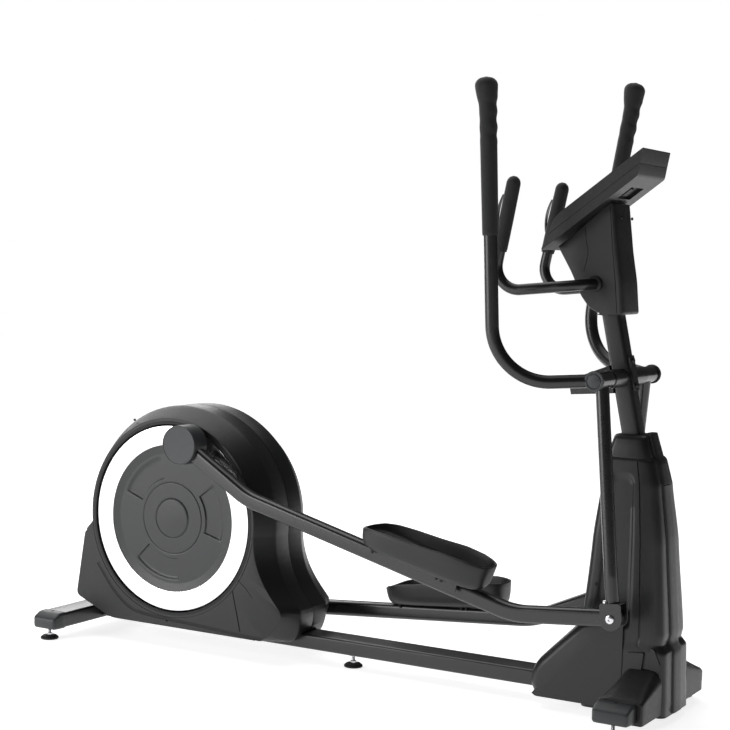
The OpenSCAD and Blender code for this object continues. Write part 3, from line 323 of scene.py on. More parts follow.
def piece(name, shape, finish, body, stands_for=(), crease=35):
    mesh = bpy.data.meshes.new(name)
    mesh.from_pydata([tuple(v) for v in shape[0]], [], shape[1])
    work = bmesh.new()
    work.from_mesh(mesh)
    bmesh.ops.remove_doubles(work, verts=work.verts, dist=2e-6)
    bmesh.ops.dissolve_degenerate(work, edges=work.edges, dist=1e-6)
    bmesh.ops.recalc_face_normals(work, faces=work.faces)
    work.to_mesh(mesh)
    work.free()
    obj = bpy.data.objects.new(name, mesh)
    bpy.context.scene.collection.objects.link(obj)
    shade(obj, crease)
    if finish:
        mesh.materials.append(finish)
    if body:
        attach(obj, body)
    if stands_for:
        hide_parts(*stands_for)
    return obj


def shade(obj, crease=35):
    obj.data.polygons.foreach_set("use_smooth", [True] * len(obj.data.polygons))
    obj.data.set_sharp_from_angle(angle=math.radians(crease))


def bevelled(obj, width, segments=3, angle=35):
    mod = obj.modifiers.new("eased edges", "BEVEL")
    mod.width = width
    mod.segments = segments
    mod.limit_method = "ANGLE"
    mod.angle_limit = math.radians(angle)
    mod.harden_normals = True
    return obj


def settle(obj):
    """Applies the modifiers to the mesh."""
    bpy.context.view_layer.update()
    result = bpy.data.meshes.new_from_object(obj.evaluated_get(bpy.context.evaluated_depsgraph_get()))
    obj.modifiers.clear()
    obj.data = result
    return obj


def thickened(obj, wall):
    """Gives an open shell its wall, inwards."""
    mod = obj.modifiers.new("wall", "SOLIDIFY")
    mod.thickness = wall
    mod.offset = -1
    return settle(obj)


def carved(obj, shape, crease=35):
    """Cuts a shape out of a piece."""
    cutter = piece("cutter", shape, None, None)
    mod = obj.modifiers.new("cut", "BOOLEAN")
    mod.operation = "DIFFERENCE"
    mod.solver = "EXACT"
    mod.object = cutter
    settle(obj)
    bpy.data.objects.remove(cutter)
    shade(obj, crease)
    return obj


def channel(points, width, y_face, depth, side):
    """A cutter along a line drawn on a side face; points are X and Z places."""
    pts = [Vector(p) for p in points]
    left, right = [], []
    for i, p in enumerate(pts):
        way = (pts[min(i + 1, len(pts) - 1)] - pts[max(i - 1, 0)]).normalized()
        off = Vector((-way.y, way.x)) * width / 2
        left.append(p + off)
        right.append(p - off)
    outline = left + right[::-1]
    y0, y1 = sorted((side * (y_face - depth), side * (y_face + 4 * MM)))
    return slab(outline, y0, y1)


# ---------- Finishes ----------

def group(name, inputs, outputs, build):
    """A shader node group, made once."""
    tree = bpy.data.node_groups.get(name)
    if tree:
        return tree
    tree = bpy.data.node_groups.new(name, "ShaderNodeTree")
    for label, kind, value in inputs:
        socket = tree.interface.new_socket(label, in_out="INPUT", socket_type=kind)
        socket.default_value = value
    for label, kind in outputs:
        tree.interface.new_socket(label, in_out="OUTPUT", socket_type=kind)
    build(tree, tree.nodes.new("NodeGroupInput"), tree.nodes.new("NodeGroupOutput"))
    return tree


def combine(tree, operation, a, b):
    """The output of a math node over two outputs."""
    return node(tree, "ShaderNodeMath", {}, {0: a, 1: b}, operation=operation).outputs[0]


def node(tree, kind, values=(), links=(), **facts):
    made = tree.nodes.new(kind)
    for key, value in facts.items():
        setattr(made, key, value)
    for key, value in dict(values).items():
        made.inputs[key].default_value = value
    for key, source in dict(links).items():
        tree.links.new(source, made.inputs[key])
    return made


def object_place(tree):
    return tree.nodes.new("ShaderNodeTexCoord").outputs["Object"]


def build_grain(tree, given, out):
    place = object_place(tree)
    fine = node(tree, "ShaderNodeTexNoise", {"Detail": 3, "Roughness": 0.6},
                {"Vector": place, "Scale": given.outputs["Scale"]})
    cells = node(tree, "ShaderNodeTexVoronoi", {}, {"Vector": place, "Scale": given.outputs["Scale"]},
                 feature="SMOOTH_F1")
    mixed = combine(tree, "ADD", fine.outputs["Fac"], cells.outputs["Distance"])
    tree.links.new(mixed, out.inputs["Height"])


def build_drift(tree, given, out):
    place = object_place(tree)
    wide = node(tree, "ShaderNodeTexNoise", {"Scale": 3.2, "Detail": 4, "Roughness": 0.55}, {"Vector": place})
    fine = node(tree, "ShaderNodeTexNoise", {"Scale": 70, "Detail": 3}, {"Vector": place})
    both = combine(tree, "ADD", wide.outputs["Fac"], fine.outputs["Fac"])
    shift = node(tree, "ShaderNodeMapRange", {"From Min": 0.6, "From Max": 1.4, "To Min": -1, "To Max": 1},
                 {"Value": both})
    amount = combine(tree, "MULTIPLY", shift.outputs[0], given.outputs["Amount"])
    gain = node(tree, "ShaderNodeMath", {1: 1.0}, {0: amount}, operation="ADD")
    tint = node(tree, "ShaderNodeVectorMath", {}, {0: given.outputs["Color"]}, operation="SCALE")
    tree.links.new(gain.outputs[0], tint.inputs["Scale"])
    tree.links.new(tint.outputs[0], out.inputs["Color"])
    tree.links.new(shift.outputs[0], out.inputs["Shift"])


def build_dust(tree, given, out):
    normal = tree.nodes.new("ShaderNodeNewGeometry")
    split = node(tree, "ShaderNodeSeparateXYZ", {}, {0: normal.outputs["Normal"]})
    up = node(tree, "ShaderNodeMapRange", {"From Min": 0.55, "From Max": 1.0}, {"Value": split.outputs["Z"]})
    patches = node(tree, "ShaderNodeTexNoise", {"Scale": 38, "Detail": 6, "Roughness": 0.7},
                   {"Vector": object_place(tree)})
    spread = node(tree, "ShaderNodeMapRange", {"From Min": 0.35, "From Max": 0.75},
                  {"Value": patches.outputs["Fac"]})
    both = combine(tree, "MULTIPLY", up.outputs[0], spread.outputs[0])
    tree.links.new(combine(tree, "MULTIPLY", both, given.outputs["Amount"]), out.inputs["Mask"])


def build_wear(tree, given, out):
    eased = node(tree, "ShaderNodeBevel", {}, {"Radius": given.outputs["Radius"]}, samples=6)
    plain = tree.nodes.new("ShaderNodeNewGeometry")
    same = node(tree, "ShaderNodeVectorMath", {}, {0: eased.outputs[0], 1: plain.outputs["Normal"]},
                operation="DOT_PRODUCT")
    edge = node(tree, "ShaderNodeMapRange", {"From Min": 0.99, "From Max": 0.86},
                {"Value": same.outputs["Value"]})
    patches = node(tree, "ShaderNodeTexNoise", {"Scale": 60, "Detail": 5}, {"Vector": object_place(tree)})
    spread = node(tree, "ShaderNodeMapRange", {"From Min": 0.4, "From Max": 0.65},
                  {"Value": patches.outputs["Fac"]})
    both = combine(tree, "MULTIPLY", edge.outputs[0], spread.outputs[0])
    tree.links.new(combine(tree, "MULTIPLY", both, given.outputs["Amount"]), out.inputs["Mask"])


def effect(name):
    number, colour_kind = "NodeSocketFloat", "NodeSocketColor"
    made = {
        "Fine grain": ([("Scale", number, 900.0)], [("Height", number)], build_grain),
        "Tone drift": ([("Color", colour_kind, (0.1, 0.1, 0.1, 1)), ("Amount", number, 0.1)],
                       [("Color", colour_kind), ("Shift", number)], build_drift),
        "Settled dust": ([("Amount", number, 0.1)], [("Mask", number)], build_dust),
        "Edge wear": ([("Radius", number, 0.002), ("Amount", number, 0.2)], [("Mask", number)], build_wear),
    }
    return group(name, *made[name])


def finish(name, tint, rough, metal=0.0, grain=900.0, depth=0.05, drift=0.12, rough_drift=0.05, dust=0.12,
           wear=0.0, wear_tint=(0.09, 0.09, 0.095), coat=0.0, coat_rough=0.1, sheen=0.0, brushed=None):
    """A moulded, painted or turned finish with its own grain, tone, dust and worn edges."""
    made = bpy.data.materials.get(name)
    if made:
        return made
    made = bpy.data.materials.new(name)
    made.use_nodes = True
    tree = made.node_tree
    shader = tree.nodes["Principled BSDF"]
    shader.inputs["Metallic"].default_value = metal
    shader.inputs["Coat Weight"].default_value = coat
    shader.inputs["Coat Roughness"].default_value = coat_rough
    shader.inputs["Sheen Weight"].default_value = sheen
    tone = node(tree, "ShaderNodeGroup", node_tree=effect("Tone drift"))
    tone.inputs["Color"].default_value = (*tint, 1)
    tone.inputs["Amount"].default_value = drift
    colour_now = tone.outputs["Color"]
    layers = (("Settled dust", dust, tuple(colours().dust)), ("Edge wear", wear, wear_tint))
    for label, amount, over in layers:
        if not amount:
            continue
        mask = node(tree, "ShaderNodeGroup", node_tree=effect(label))
        mask.inputs["Amount"].default_value = amount
        mix = node(tree, "ShaderNodeMix", data_type="RGBA")
        tree.links.new(mask.outputs["Mask"], mix.inputs["Factor"])
        tree.links.new(colour_now, mix.inputs[6])
        mix.inputs[7].default_value = (*over, 1)
        colour_now = mix.outputs[2]
    tree.links.new(colour_now, shader.inputs["Base Color"])
    span = {"From Min": -1, "From Max": 1, "To Min": rough - rough_drift, "To Max": rough + rough_drift}
    gloss = node(tree, "ShaderNodeMapRange", span, {"Value": tone.outputs["Shift"]})
    tree.links.new(gloss.outputs[0], shader.inputs["Roughness"])
    if brushed:
        stretch = node(tree, "ShaderNodeMapping", {"Scale": brushed}, {"Vector": object_place(tree)})
        lines = node(tree, "ShaderNodeTexNoise", {"Scale": 120, "Detail": 4}, {"Vector": stretch.outputs[0]})
        height = lines.outputs["Fac"]
    else:
        cover = node(tree, "ShaderNodeGroup", {"Scale": grain}, node_tree=effect("Fine grain"))
        height = cover.outputs["Height"]
    bump = node(tree, "ShaderNodeBump", {"Strength": depth, "Distance": 0.0008}, {"Height": height})
    tree.links.new(bump.outputs[0], shader.inputs["Normal"])
    return made


def colours():
    return bpy.context.scene.trainer_colours


def housing_plastic():
    return finish("housing plastic", colours().cover, 0.4, grain=1500, depth=0.14, dust=0.1, wear=0.12)


def shroud_plastic():
    return finish("shroud plastic", colours().cover, 0.36, grain=1500, depth=0.1, dust=0.1, wear=0.1)


def trim_plastic():
    return finish("trim plastic", colours().trim, 0.44, grain=1300, depth=0.16, dust=0.12, wear=0.1)


def dark_plastic():
    return finish("dark plastic", (0.004, 0.004, 0.0045), 0.6, grain=1300, depth=0.1, dust=0.05)


def disk_plastic():
    return finish("disk plastic", colours().disk, 0.34, grain=1600, depth=0.06, drift=0.06, dust=0.05,
                  wear=0.1)


def cap_plastic():
    return finish("cap plastic", colours().cap, 0.42, grain=1500, depth=0.1, dust=0.08, wear=0.15)


def ring_chrome():
    return finish("ring chrome", (0.9, 0.9, 0.91), 0.16, metal=1.0, depth=0.01, drift=0.02, rough_drift=0.03,
                  dust=0.0, brushed=(1, 1, 1))


def black_paint():
    return finish("black paint", colours().paint, 0.34, grain=700, depth=0.08, dust=0.1, wear=0.3, coat=0.25,
                  coat_rough=0.2)


def arm_paint():
    return finish("arm paint", colours().paint, 0.3, grain=700, depth=0.05, dust=0.1, wear=0.25, coat=0.4,
                  coat_rough=0.15)


def rail_paint():
    return finish("rail paint", colours().rail, 0.34, grain=600, depth=0.06, dust=0.22, wear=0.35, coat=0.3,
                  coat_rough=0.2)


def bare_steel():
    return finish("bare steel", (0.62, 0.62, 0.63), 0.26, metal=1.0, depth=0.08, drift=0.06, dust=0.04,
                  brushed=(1, 0.05, 1))


def dark_chrome():
    return finish("dark chrome", (0.09, 0.09, 0.095), 0.24, metal=1.0, depth=0.04, drift=0.05, dust=0.02,
                  grain=500)


def zinc():
    return finish("zinc", (0.7, 0.7, 0.72), 0.22, metal=1.0, depth=0.05, drift=0.05, dust=0.03, grain=400)


def cast_iron():
    return finish("cast iron", (0.16, 0.16, 0.165), 0.45, metal=0.9, depth=0.3, grain=350, dust=0.1)


def foam():
    return finish("foam", colours().foam, 0.72, grain=1900, depth=0.55, drift=0.2, dust=0.1, sheen=0.25)


def rubber():
    return finish("rubber", (0.011, 0.011, 0.012), 0.62, grain=900, depth=0.25, dust=0.2)


def pedal_plastic():
    return finish("pedal plastic", colours().pedal, 0.42, grain=420, depth=0.4, dust=0.2, wear=0.2)


def pad_rubber():
    return finish("pad rubber", (0.035, 0.035, 0.037), 0.6, grain=800, depth=0.35, dust=0.25)


def lens_glass():
    return finish("lens", (0.006, 0.007, 0.009), 0.07, grain=200, depth=0.0, drift=0.02, rough_drift=0.02,
                  dust=0.05, coat=1.0, coat_rough=0.03)


def signal_red():
    return finish("signal red", (0.5, 0.04, 0.03), 0.4, dust=0.05)


def key_grey():
    return finish("key grey", (0.25, 0.255, 0.26), 0.42, dust=0.05)


SLOT_FINISH = {
    "rail_paint": rail_paint, "beam_paint": rail_paint, "mast_paint": black_paint, "inner_paint": black_paint,
    "handle_paint": black_paint, "link_paint": arm_paint, "arm_paint": arm_paint, "steel": bare_steel,
    "bearing_steel": zinc, "wheel_iron": cast_iron, "pulley_plastic": dark_plastic, "belt_rubber": rubber,
    "magnet_steel": cast_iron, "motor_plastic": dark_plastic, "housing_plastic": housing_plastic,
    "shroud_plastic": shroud_plastic, "collar_plastic": shroud_plastic, "foot_cover_plastic": trim_plastic,
    "cap_plastic": trim_plastic, "crank_cap_plastic": cap_plastic, "disk_plastic": disk_plastic,
    "hub_plastic": disk_plastic, "ring_gloss": ring_chrome, "console_plastic": trim_plastic,
    "screen_lens": lens_glass, "neck_plastic": trim_plastic, "grip_foam": foam, "plate_chrome": dark_chrome,
    "pedal_plastic": pedal_plastic, "pad_rubber": pad_rubber, "foot_rubber": rubber,
    "inlet_plastic": dark_plastic, "start_red": signal_red, "button_grey": key_grey,
}


# ---------- Drive housing ----------

HOUSING_LOW, HOUSING_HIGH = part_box("housing_right")
HOUSING_R = HOUSING_HIGH.z - CRANK.z
HOUSING_HALF = -HOUSING_LOW.y


def housing_outline(step):
    """Side view about the crank axle, drawn in by a step from its widest."""
    r = HOUSING_R - step
    bottom = HOUSING_LOW.z - CRANK.z + 0.15 * step
    front = polar(r, -5)
    nose = Vector((HOUSING_R + 95 * MM - 0.74 * step, -243 * MM))
    low = Vector((HOUSING_R + 58 * MM - 1.9 * step, bottom))
    toe = bezier(low, low + Vector((30, 8)) * MM, nose + Vector((6, -34)) * MM, nose, 8)
    waist = bezier(nose, nose + Vector((-50, 56)) * MM, front + Vector((2, -110)) * MM, front, 14)
    back = arc((0, 0), r, -5, 187 + (38 * MM - step) * 80, 60)
    fin = [Vector((2 * MM - HOUSING_R + 0.2 * step, -70 * MM)),
           Vector((-33 * MM - HOUSING_R + 0.3 * step, -283 * MM + 0.1 * step))]
    fin = rounded([back[-1]] + fin + [Vector((-225 * MM, bottom)), low], 16 * MM, 4, closed=False)[1:-1]
    return toe[:-1] + waist[:-1] + back + fin


def outline_reach(outline, angle):
    """Distance from the crank axle to the outline in one direction."""
    way = Vector((math.cos(angle), math.sin(angle)))
    best = 0
    for a, b in zip(outline, outline[1:] + outline[:1]):
        edge = b - a
        cross = way.x * edge.y - way.y * edge.x
        if abs(cross) < 1e-12:
            continue
        t = (a.x * edge.y - a.y * edge.x) / cross
        s = (a.x * way.y - a.y * way.x) / cross
        if t > 0 and -1e-9 <= s <= 1 + 1e-9:
            best = max(best, t)
    return best


def housing_half(side_name, side):
    sizes = bpy.context.scene.trainer_housing
    corners = {round(math.atan2(p.y, p.x) % (2 * math.pi), 5) for p in housing_outline(0)}
    angles = sorted(corners | {round(2 * math.pi * k / 240, 5) for k in range(240)})
    rim, edge = sizes.rim_half, HOUSING_HALF
    levels = [(0.4 * MM, 2.2 * MM), (1.6 * MM, 0.6 * MM), (3 * MM, 0), (rim - 5 * MM, 0), (rim, 0.5 * MM),
              (rim + 5 * MM, 2.6 * MM)]
    levels += [(rim + 5 * MM + (edge - 9 * MM - rim) * t, 2.6 * MM + (sizes.bevel - 6 * MM) * t)
               for t in (0.33, 0.66, 1)]
    levels += [(edge - 2 * MM, sizes.bevel - 2.2 * MM), (edge - 0.5 * MM, sizes.bevel - 0.9 * MM),
               (edge, sizes.bevel + 0.6 * MM)]
    rings = []
    for y, step in levels:
        outline = housing_outline(step)
        reach = [outline_reach(outline, a) for a in angles]
        rings.append([(r, y) for r in reach])
    border = [r for r, _ in rings[-1]]
    band = sizes.opening + sizes.flange
    for share, depth in ((1, 0), (0.8, 1.6), (0.2, 1.6), (0, 0)):
        rings.append([(band + share * min(2.2 * MM, 0.8 * (r - band)),
                       edge - depth * MM * smooth_step(band, band + 7 * MM, r)) for r in border])
    for r, y in ((2.0, 0), (0.7, -0.5), (0, -1.8), (0, -9), (2.5, -9)):
        rings.append([(sizes.opening + r * MM, edge + y * MM)] * len(angles))
    inside = [(edge - 3 * MM, sizes.bevel + sizes.wall + 0.6 * MM), (edge - 7 * MM, sizes.bevel + 0.2 * MM),
              (rim + 2 * MM, 2.6 * MM + sizes.wall), (rim - 5 * MM, sizes.wall),
              (0.4 * MM, sizes.wall + 2 * MM)]
    for y, step in inside:
        outline = housing_outline(step)
        rings.append([(outline_reach(outline, a), y) for a in angles])
    shape = loft([[Vector((CRANK.x + r * math.cos(a), side * y, CRANK.z + r * math.sin(a)))
                   for (r, y), a in zip(ring, angles)] for ring in rings], loop=True)
    cover = piece("housing_cover_" + side_name, shape, housing_plastic(), ROOT,
                  ["housing_" + side_name], crease=28)
    at = Vector((CRANK.x, CRANK.z))
    ledge = [at + Vector(p) * MM for p in ((-281, -168), (-219, -248), (-146, -303), (-31, -313), (133, -319),
                                           (265, -328), (345, -330))]
    ledge = rounded(ledge, 70 * MM, 8, closed=False)
    cuts = [
        channel(ledge, 10 * MM, edge, 2 * MM, side),
        channel([at + Vector((238, -196)) * MM, at + Vector((262, -292)) * MM, at + Vector((269, -318)) * MM],
                6 * MM, edge, 2.1 * MM, side),
        channel([at + Vector(p) * MM for p in ((252, -158), (285, -184), (309, -209))], 2 * MM, edge,
                1.6 * MM, side),
    ]
    wells = [turned(mm((0, -14), (4.6, -14), (4.6, 12), (0, 12)),
                    (CRANK.x + x * MM, side * y * MM, CRANK.z + z * MM), count=24)
             for x, z, y in HOUSING_SCREWS]
    carved(cover, merge(*cuts), 28)
    carved(cover, merge(*wells), 28)
    # The dark strip laid into the bottom of the ledge groove is painted shade of the ledge; the dark ring round
    # the opening is trim.
    painted_shade_strip_and_trim = [channel(ledge, 9.6 * MM, edge - 4.9 * MM, 1 * MM, side)]
    trim = [(sizes.opening + 0.4 * MM, edge - 8 * MM), (sizes.opening + 0.4 * MM, edge + 0.2 * MM),
            (sizes.opening + 1.2 * MM, edge + 0.9 * MM), (sizes.opening + 8.4 * MM, edge + 0.9 * MM),
            (sizes.opening + 9.2 * MM, edge + 0.2 * MM), (sizes.opening + 9.2 * MM, edge - 1 * MM)]
    painted_shade_strip_and_trim.append(turned(trim + trim[:1], (CRANK.x, 0, CRANK.z), (0, side, 0), 192))
    piece("housing_shade_strip_and_trim_" + side_name, merge(*painted_shade_strip_and_trim), dark_plastic(), ROOT)


# Screw wells of the housing: X and Z from the crank axle and distance from the middle, in millimetres
HOUSING_SCREWS = ((-330, -71, 138), (-6, -318, 138), (323, -334, 138), (-178, 290, 104), (121, 283, 112),
                  (308, 46, 112))


def screw_heads(name, places, normal_of, body, r=4.2 * MM):
    shapes = []
    for place in places:
        axis = normal_of(place)
        profile = [(0, -3 * MM), (r, -3 * MM), (r, 0.4 * MM), (r * 0.8, 1.2 * MM), (r * 0.45, 1.4 * MM),
                   (r * 0.42, 0.2 * MM), (0, 0.2 * MM)]
        shapes.append(turned(profile, place, axis, 20))
    return piece(name, merge(*shapes), dark_plastic(), body)


class TRAINER_OT_housing(bpy.types.Operator):
    """Makes both halves of the round drive housing and their screws"""
    bl_idname = "trainer.housing"
    bl_label = "Drive housing"

    def execute(self, context):
        for side_name, side in SIDES.items():
            housing_half(side_name, side)
            places = [Vector((CRANK.x + x * MM, side * (y - 5) * MM, CRANK.z + z * MM))
                      for x, z, y in HOUSING_SCREWS]
            screw_heads("housing_screws_" + side_name, places, lambda p: (0, math.copysign(1, p.y), 0), ROOT,
                        3.9 * MM)
        return {"FINISHED"}


# ---------- Crank ----------

def disk_depth(r, angle, pin_angle, sizes):
    """How far the disk's face lies below its front at a radius and an angle."""
    depth = 0.0
    for groove in (sizes.hub_groove, sizes.spoke_groove):
        depth = max(depth, 1.1 * MM * (1 - smooth_step(0.2 * MM, 1.5 * MM, abs(r - groove))))
    if r > sizes.spoke_groove:
        depth += 0.8 * MM
    if r < sizes.hub_groove:
        depth -= 1.6 * MM * (1 - smooth_step(0, sizes.hub_groove, r))
    rise = (r - sizes.dish) / (sizes.ring_inner - sizes.dish)
    depth -= 5.4 * MM * min(max(rise, 0), 1)
    for centre in (61.4, -60.0, 181.4):
        off = (math.degrees(angle) - pin_angle - centre + 180) % 360 - 180
        half = math.radians(27) * r
        along = abs(math.radians(off)) * r
        inside = (1 - smooth_step(half - 3 * MM, half, along))
        inside *= smooth_step(124 * MM, 127 * MM, r) * (1 - smooth_step(182 * MM, 194 * MM, r))
        depth += sizes.pocket_depth * inside
    return depth


class TRAINER_OT_crank(bpy.types.Operator):
    """Makes the crank disks, bright rings, hub caps and round crank caps"""
    bl_idname = "trainer.crank"
    bl_label = "Crank disks"

    def execute(self, context):
        sizes = context.scene.trainer_crank
        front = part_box("crank_rings")[1].y - 6 * MM
        fine = [0.5, 12, 30, 48, 58, 60.4, 61.2, 62, 62.8, 63.6, 66, 80, 96, 106, 108.4, 109.2, 110, 110.8,
                111.6, 116, 122, 124, 125, 126, 127, 129, 140, 155, 170, 180, 184, 187, 190, 192, 196, 200,
                201.8, 202.4, 210, 218, 225.5, 226.4]
        for side_name, side in SIDES.items():
            pin = pin_place(side_name)
            pin_angle = math.degrees(math.atan2(pin.z - CRANK.z, (pin.x - CRANK.x)))
            count = 288
            rings = []
            for r in fine:
                rings.append([Vector((CRANK.x + r * MM * math.cos(a), side * (front - disk_depth(
                    r * MM, a, pin_angle, sizes)), CRANK.z + r * MM * math.sin(a)))
                    for a in (2 * math.pi * k / count for k in range(count))])
            back = [Vector((p.x, side * (front - 8.6 * MM), p.z)) for p in rings[-1]]
            piece("disk_" + side_name, loft(rings + [back]), disk_plastic(), "crank",
                  ["crank_disks"], crease=50)
            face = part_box("crank_rings")[1].y
            a, b = sizes.ring_inner, sizes.ring_outer
            profile = rounded([(a, face - 6 * MM), (a, face), (b, face), (b, face - 12 * MM),
                               (a + 4 * MM, face - 12 * MM)], 1.6 * MM, 4)
            piece("bright_ring_" + side_name,
                  turned(profile + profile[:1], (CRANK.x, 0, CRANK.z), (0, side, 0), 192), ring_chrome(),
                  "crank", ["crank_rings"])
            hub = rounded([(0.1 * MM, 0), (sizes.hub_groove - 1 * MM, 0), (sizes.hub_groove - 1 * MM, 5 * MM),
                           (sizes.hub_groove - 5 * MM, 7.4 * MM), (0.1 * MM, 8.6 * MM)], 1.5 * MM, 3, False)
            piece("hub_cap_" + side_name,
                  turned(hub, (CRANK.x, side * (front - 5 * MM), CRANK.z),
                         (0, side, 0), 96), disk_plastic(), "crank", ["hub_caps"])
            cap_low, cap_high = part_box(side_name + "_crank_cap")
            near, far = sorted((abs(cap_low.y), abs(cap_high.y)))
            r = (cap_high.z - cap_low.z) / 2
            profile = rounded([(r - 6 * MM, near), (r, near + 3 * MM), (r, far), (r - 3.4 * MM, far),
                               (r - 4.6 * MM, far - 1 * MM), (0, far - 1 * MM)], 2 * MM, 4, False)
            piece("crank_cap_" + side_name,
                  turned([Vector((0, near + 1 * MM))] + profile, (pin.x, 0, pin.z),
                         (0, side, 0), 96), cap_plastic(), side_name + "_arm",
                  [side_name + "_crank_cap"])
        return {"FINISHED"}


# ---------- Pedal arms, links and handlebars ----------

ARM_SPAN = 1437 * MM
ARM_BENDS = ((262 * MM, -82 * MM), (ARM_SPAN - 272 * MM, -94 * MM))
ARM_BEND_R = 240 * MM


def arm_path(matrix, arm_y):
    """The pedal arm's bent centre line, from the crank pin to the lower joint."""
    points = ((0, 0), *ARM_BENDS, (ARM_SPAN, 0))
    return stations([matrix @ Vector((x, arm_y, z)) for x, z in points], ARM_BEND_R)


class TRAINER_OT_arms(bpy.types.Operator):
    """Makes the pedal arms and the swing links with their forks"""
    bl_idname = "trainer.arms"
    bl_label = "Pedal arms and links"

    def execute(self, context):
        for side_name, side in SIDES.items():
            matrix = arm_matrix(side_name)
            joint = joint_place(side_name + "_pedal_arm")
            arm_y = joint.y
            tube = bar(arm_path(matrix, arm_y), rect_outline(46 * MM, 40 * MM, 12 * MM))
            sleeve = turned(mm((0, -20), (20, -20), (22, -18), (22, 18),
                               (20, 20), (0, 20)), joint, count=64)
            hub = turned(mm((0, -32), (36, -32), (38, -30), (38, 18),
                            (36, 20), (0, 20)),
                         matrix @ Vector((0, arm_y, 0)), (0, side, 0), 64)
            piece("arm_" + side_name, merge(tube, sleeve, hub), arm_paint(), side_name + "_arm",
                  [side_name + "_pedal_arm"])
            self.link(side_name, side, joint)
        return {"FINISHED"}

    def link(self, side_name, side, joint):
        top = Vector((PIVOT.x, side * 158 * MM, PIVOT.z))
        up = Vector((PIVOT.x - joint.x, 0, PIVOT.z - joint.z)).normalized()
        path = stations([top, joint + up * 110 * MM, joint + up * 38 * MM], 200 * MM)
        rod = bar(path, circle_outline(BAR_R))
        low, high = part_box(side_name + "_link")
        near = min(abs(low.y), abs(high.y))
        bush = turned(mm((17, 0), (21, 0), (23, 2), (23, 86), (21, 88),
                         (17, 88), (17, 0)), (PIVOT.x, side * near, PIVOT.z), (0, side, 0), 72)
        piece("link_" + side_name, merge(rod, bush), arm_paint(), side_name + "_swing",
              [side_name + "_link"])
        x = Vector((up.z, 0, -up.x))
        frame_here = Matrix(((x.x, 0, up.x, joint.x), (0, 1, 0, joint.y), (x.z, 0, up.z, joint.z),
                             (0, 0, 0, 1)))
        cheek = arc((0, 0), 31 * MM, 0, -154, 20) + [Vector((-28, 36)) * MM, Vector((-22, 41)) * MM,
                                                     Vector((25, 41)) * MM, Vector((31, 36)) * MM]
        shapes = [slab(cheek, y - 2.5 * MM, y + 2.5 * MM) for y in (-23 * MM, 23 * MM)]
        shapes.append(block((-26 * MM, -24 * MM, 36 * MM), (29 * MM, 24 * MM, 41 * MM)))
        fork = piece("fork_" + side_name, moved(merge(*shapes), frame_here), arm_paint(),
                     side_name + "_swing")
        bevelled(fork, 1 * MM, 2)
        outside = side * FORK_OUTSIDE
        head = turned(mm((0, 0), (11.5, 0), (12, 1.2), (11, 4), (7, 5.4),
                         (4.2, 5.6), (4.0, 2.6), (0, 2.4)),
                      joint + Vector((0, outside, 0)), (0, side, 0), 48)
        nut = turned(mm((0, 0), (12, 0), (12, 2), (9, 2.2), (9, 7),
                        (6, 8.6), (0, 9)), joint - Vector((0, outside, 0)), (0, -side, 0), 48)
        dome = turned(mm((0, 0), (8.4, 0), (8.4, 3.4), (6.6, 6), (3.4, 7.6),
                         (0, 8)), joint + up * 41 * MM - x * 14 * MM + Vector((0, side * 12 * MM, 0)), up, 32)
        piece("joint_bolts_" + side_name, merge(head, nut, dome), zinc(), side_name + "_swing")


HANDLE_Y = 184 * MM                       # foot of a moving handlebar
HANDLE_BEND = (-250 * MM, 112 * MM, -17 * MM)
HANDLE_SPREAD = 2.8                       # degrees outwards


def link_tilt(side_name):
    """Angle of a link from the vertical, by its two joints."""
    joint = joint_place(side_name + "_pedal_arm")
    return math.atan2(PIVOT.x - joint.x, PIVOT.z - joint.z)


def handle_line(side):
    """Foot, corner and top of a moving handlebar, turned with its link about the pivot."""
    foot = Vector((PIVOT.x, side * HANDLE_Y, PIVOT.z))
    corner = foot + Vector((HANDLE_BEND[0], side * HANDLE_BEND[1], HANDLE_BEND[2]))
    out = Vector((-250, side * 112, 0)).normalized()
    up = (out * math.tan(math.radians(HANDLE_SPREAD)) + Vector((0, 0, 1))).normalized()
    top = corner + up * (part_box("right_grip")[1].z - corner.z) / up.z
    turn = Matrix.Rotation(link_tilt("left" if side == LEFT else "right") - link_tilt("right"), 3, "Y")
    centre = Vector((PIVOT.x, 0, PIVOT.z))
    places = [centre + turn @ (p - centre) for p in (foot, corner, top)]
    return (*places, turn @ up, turn @ out.cross(Vector((0, 0, 1))))


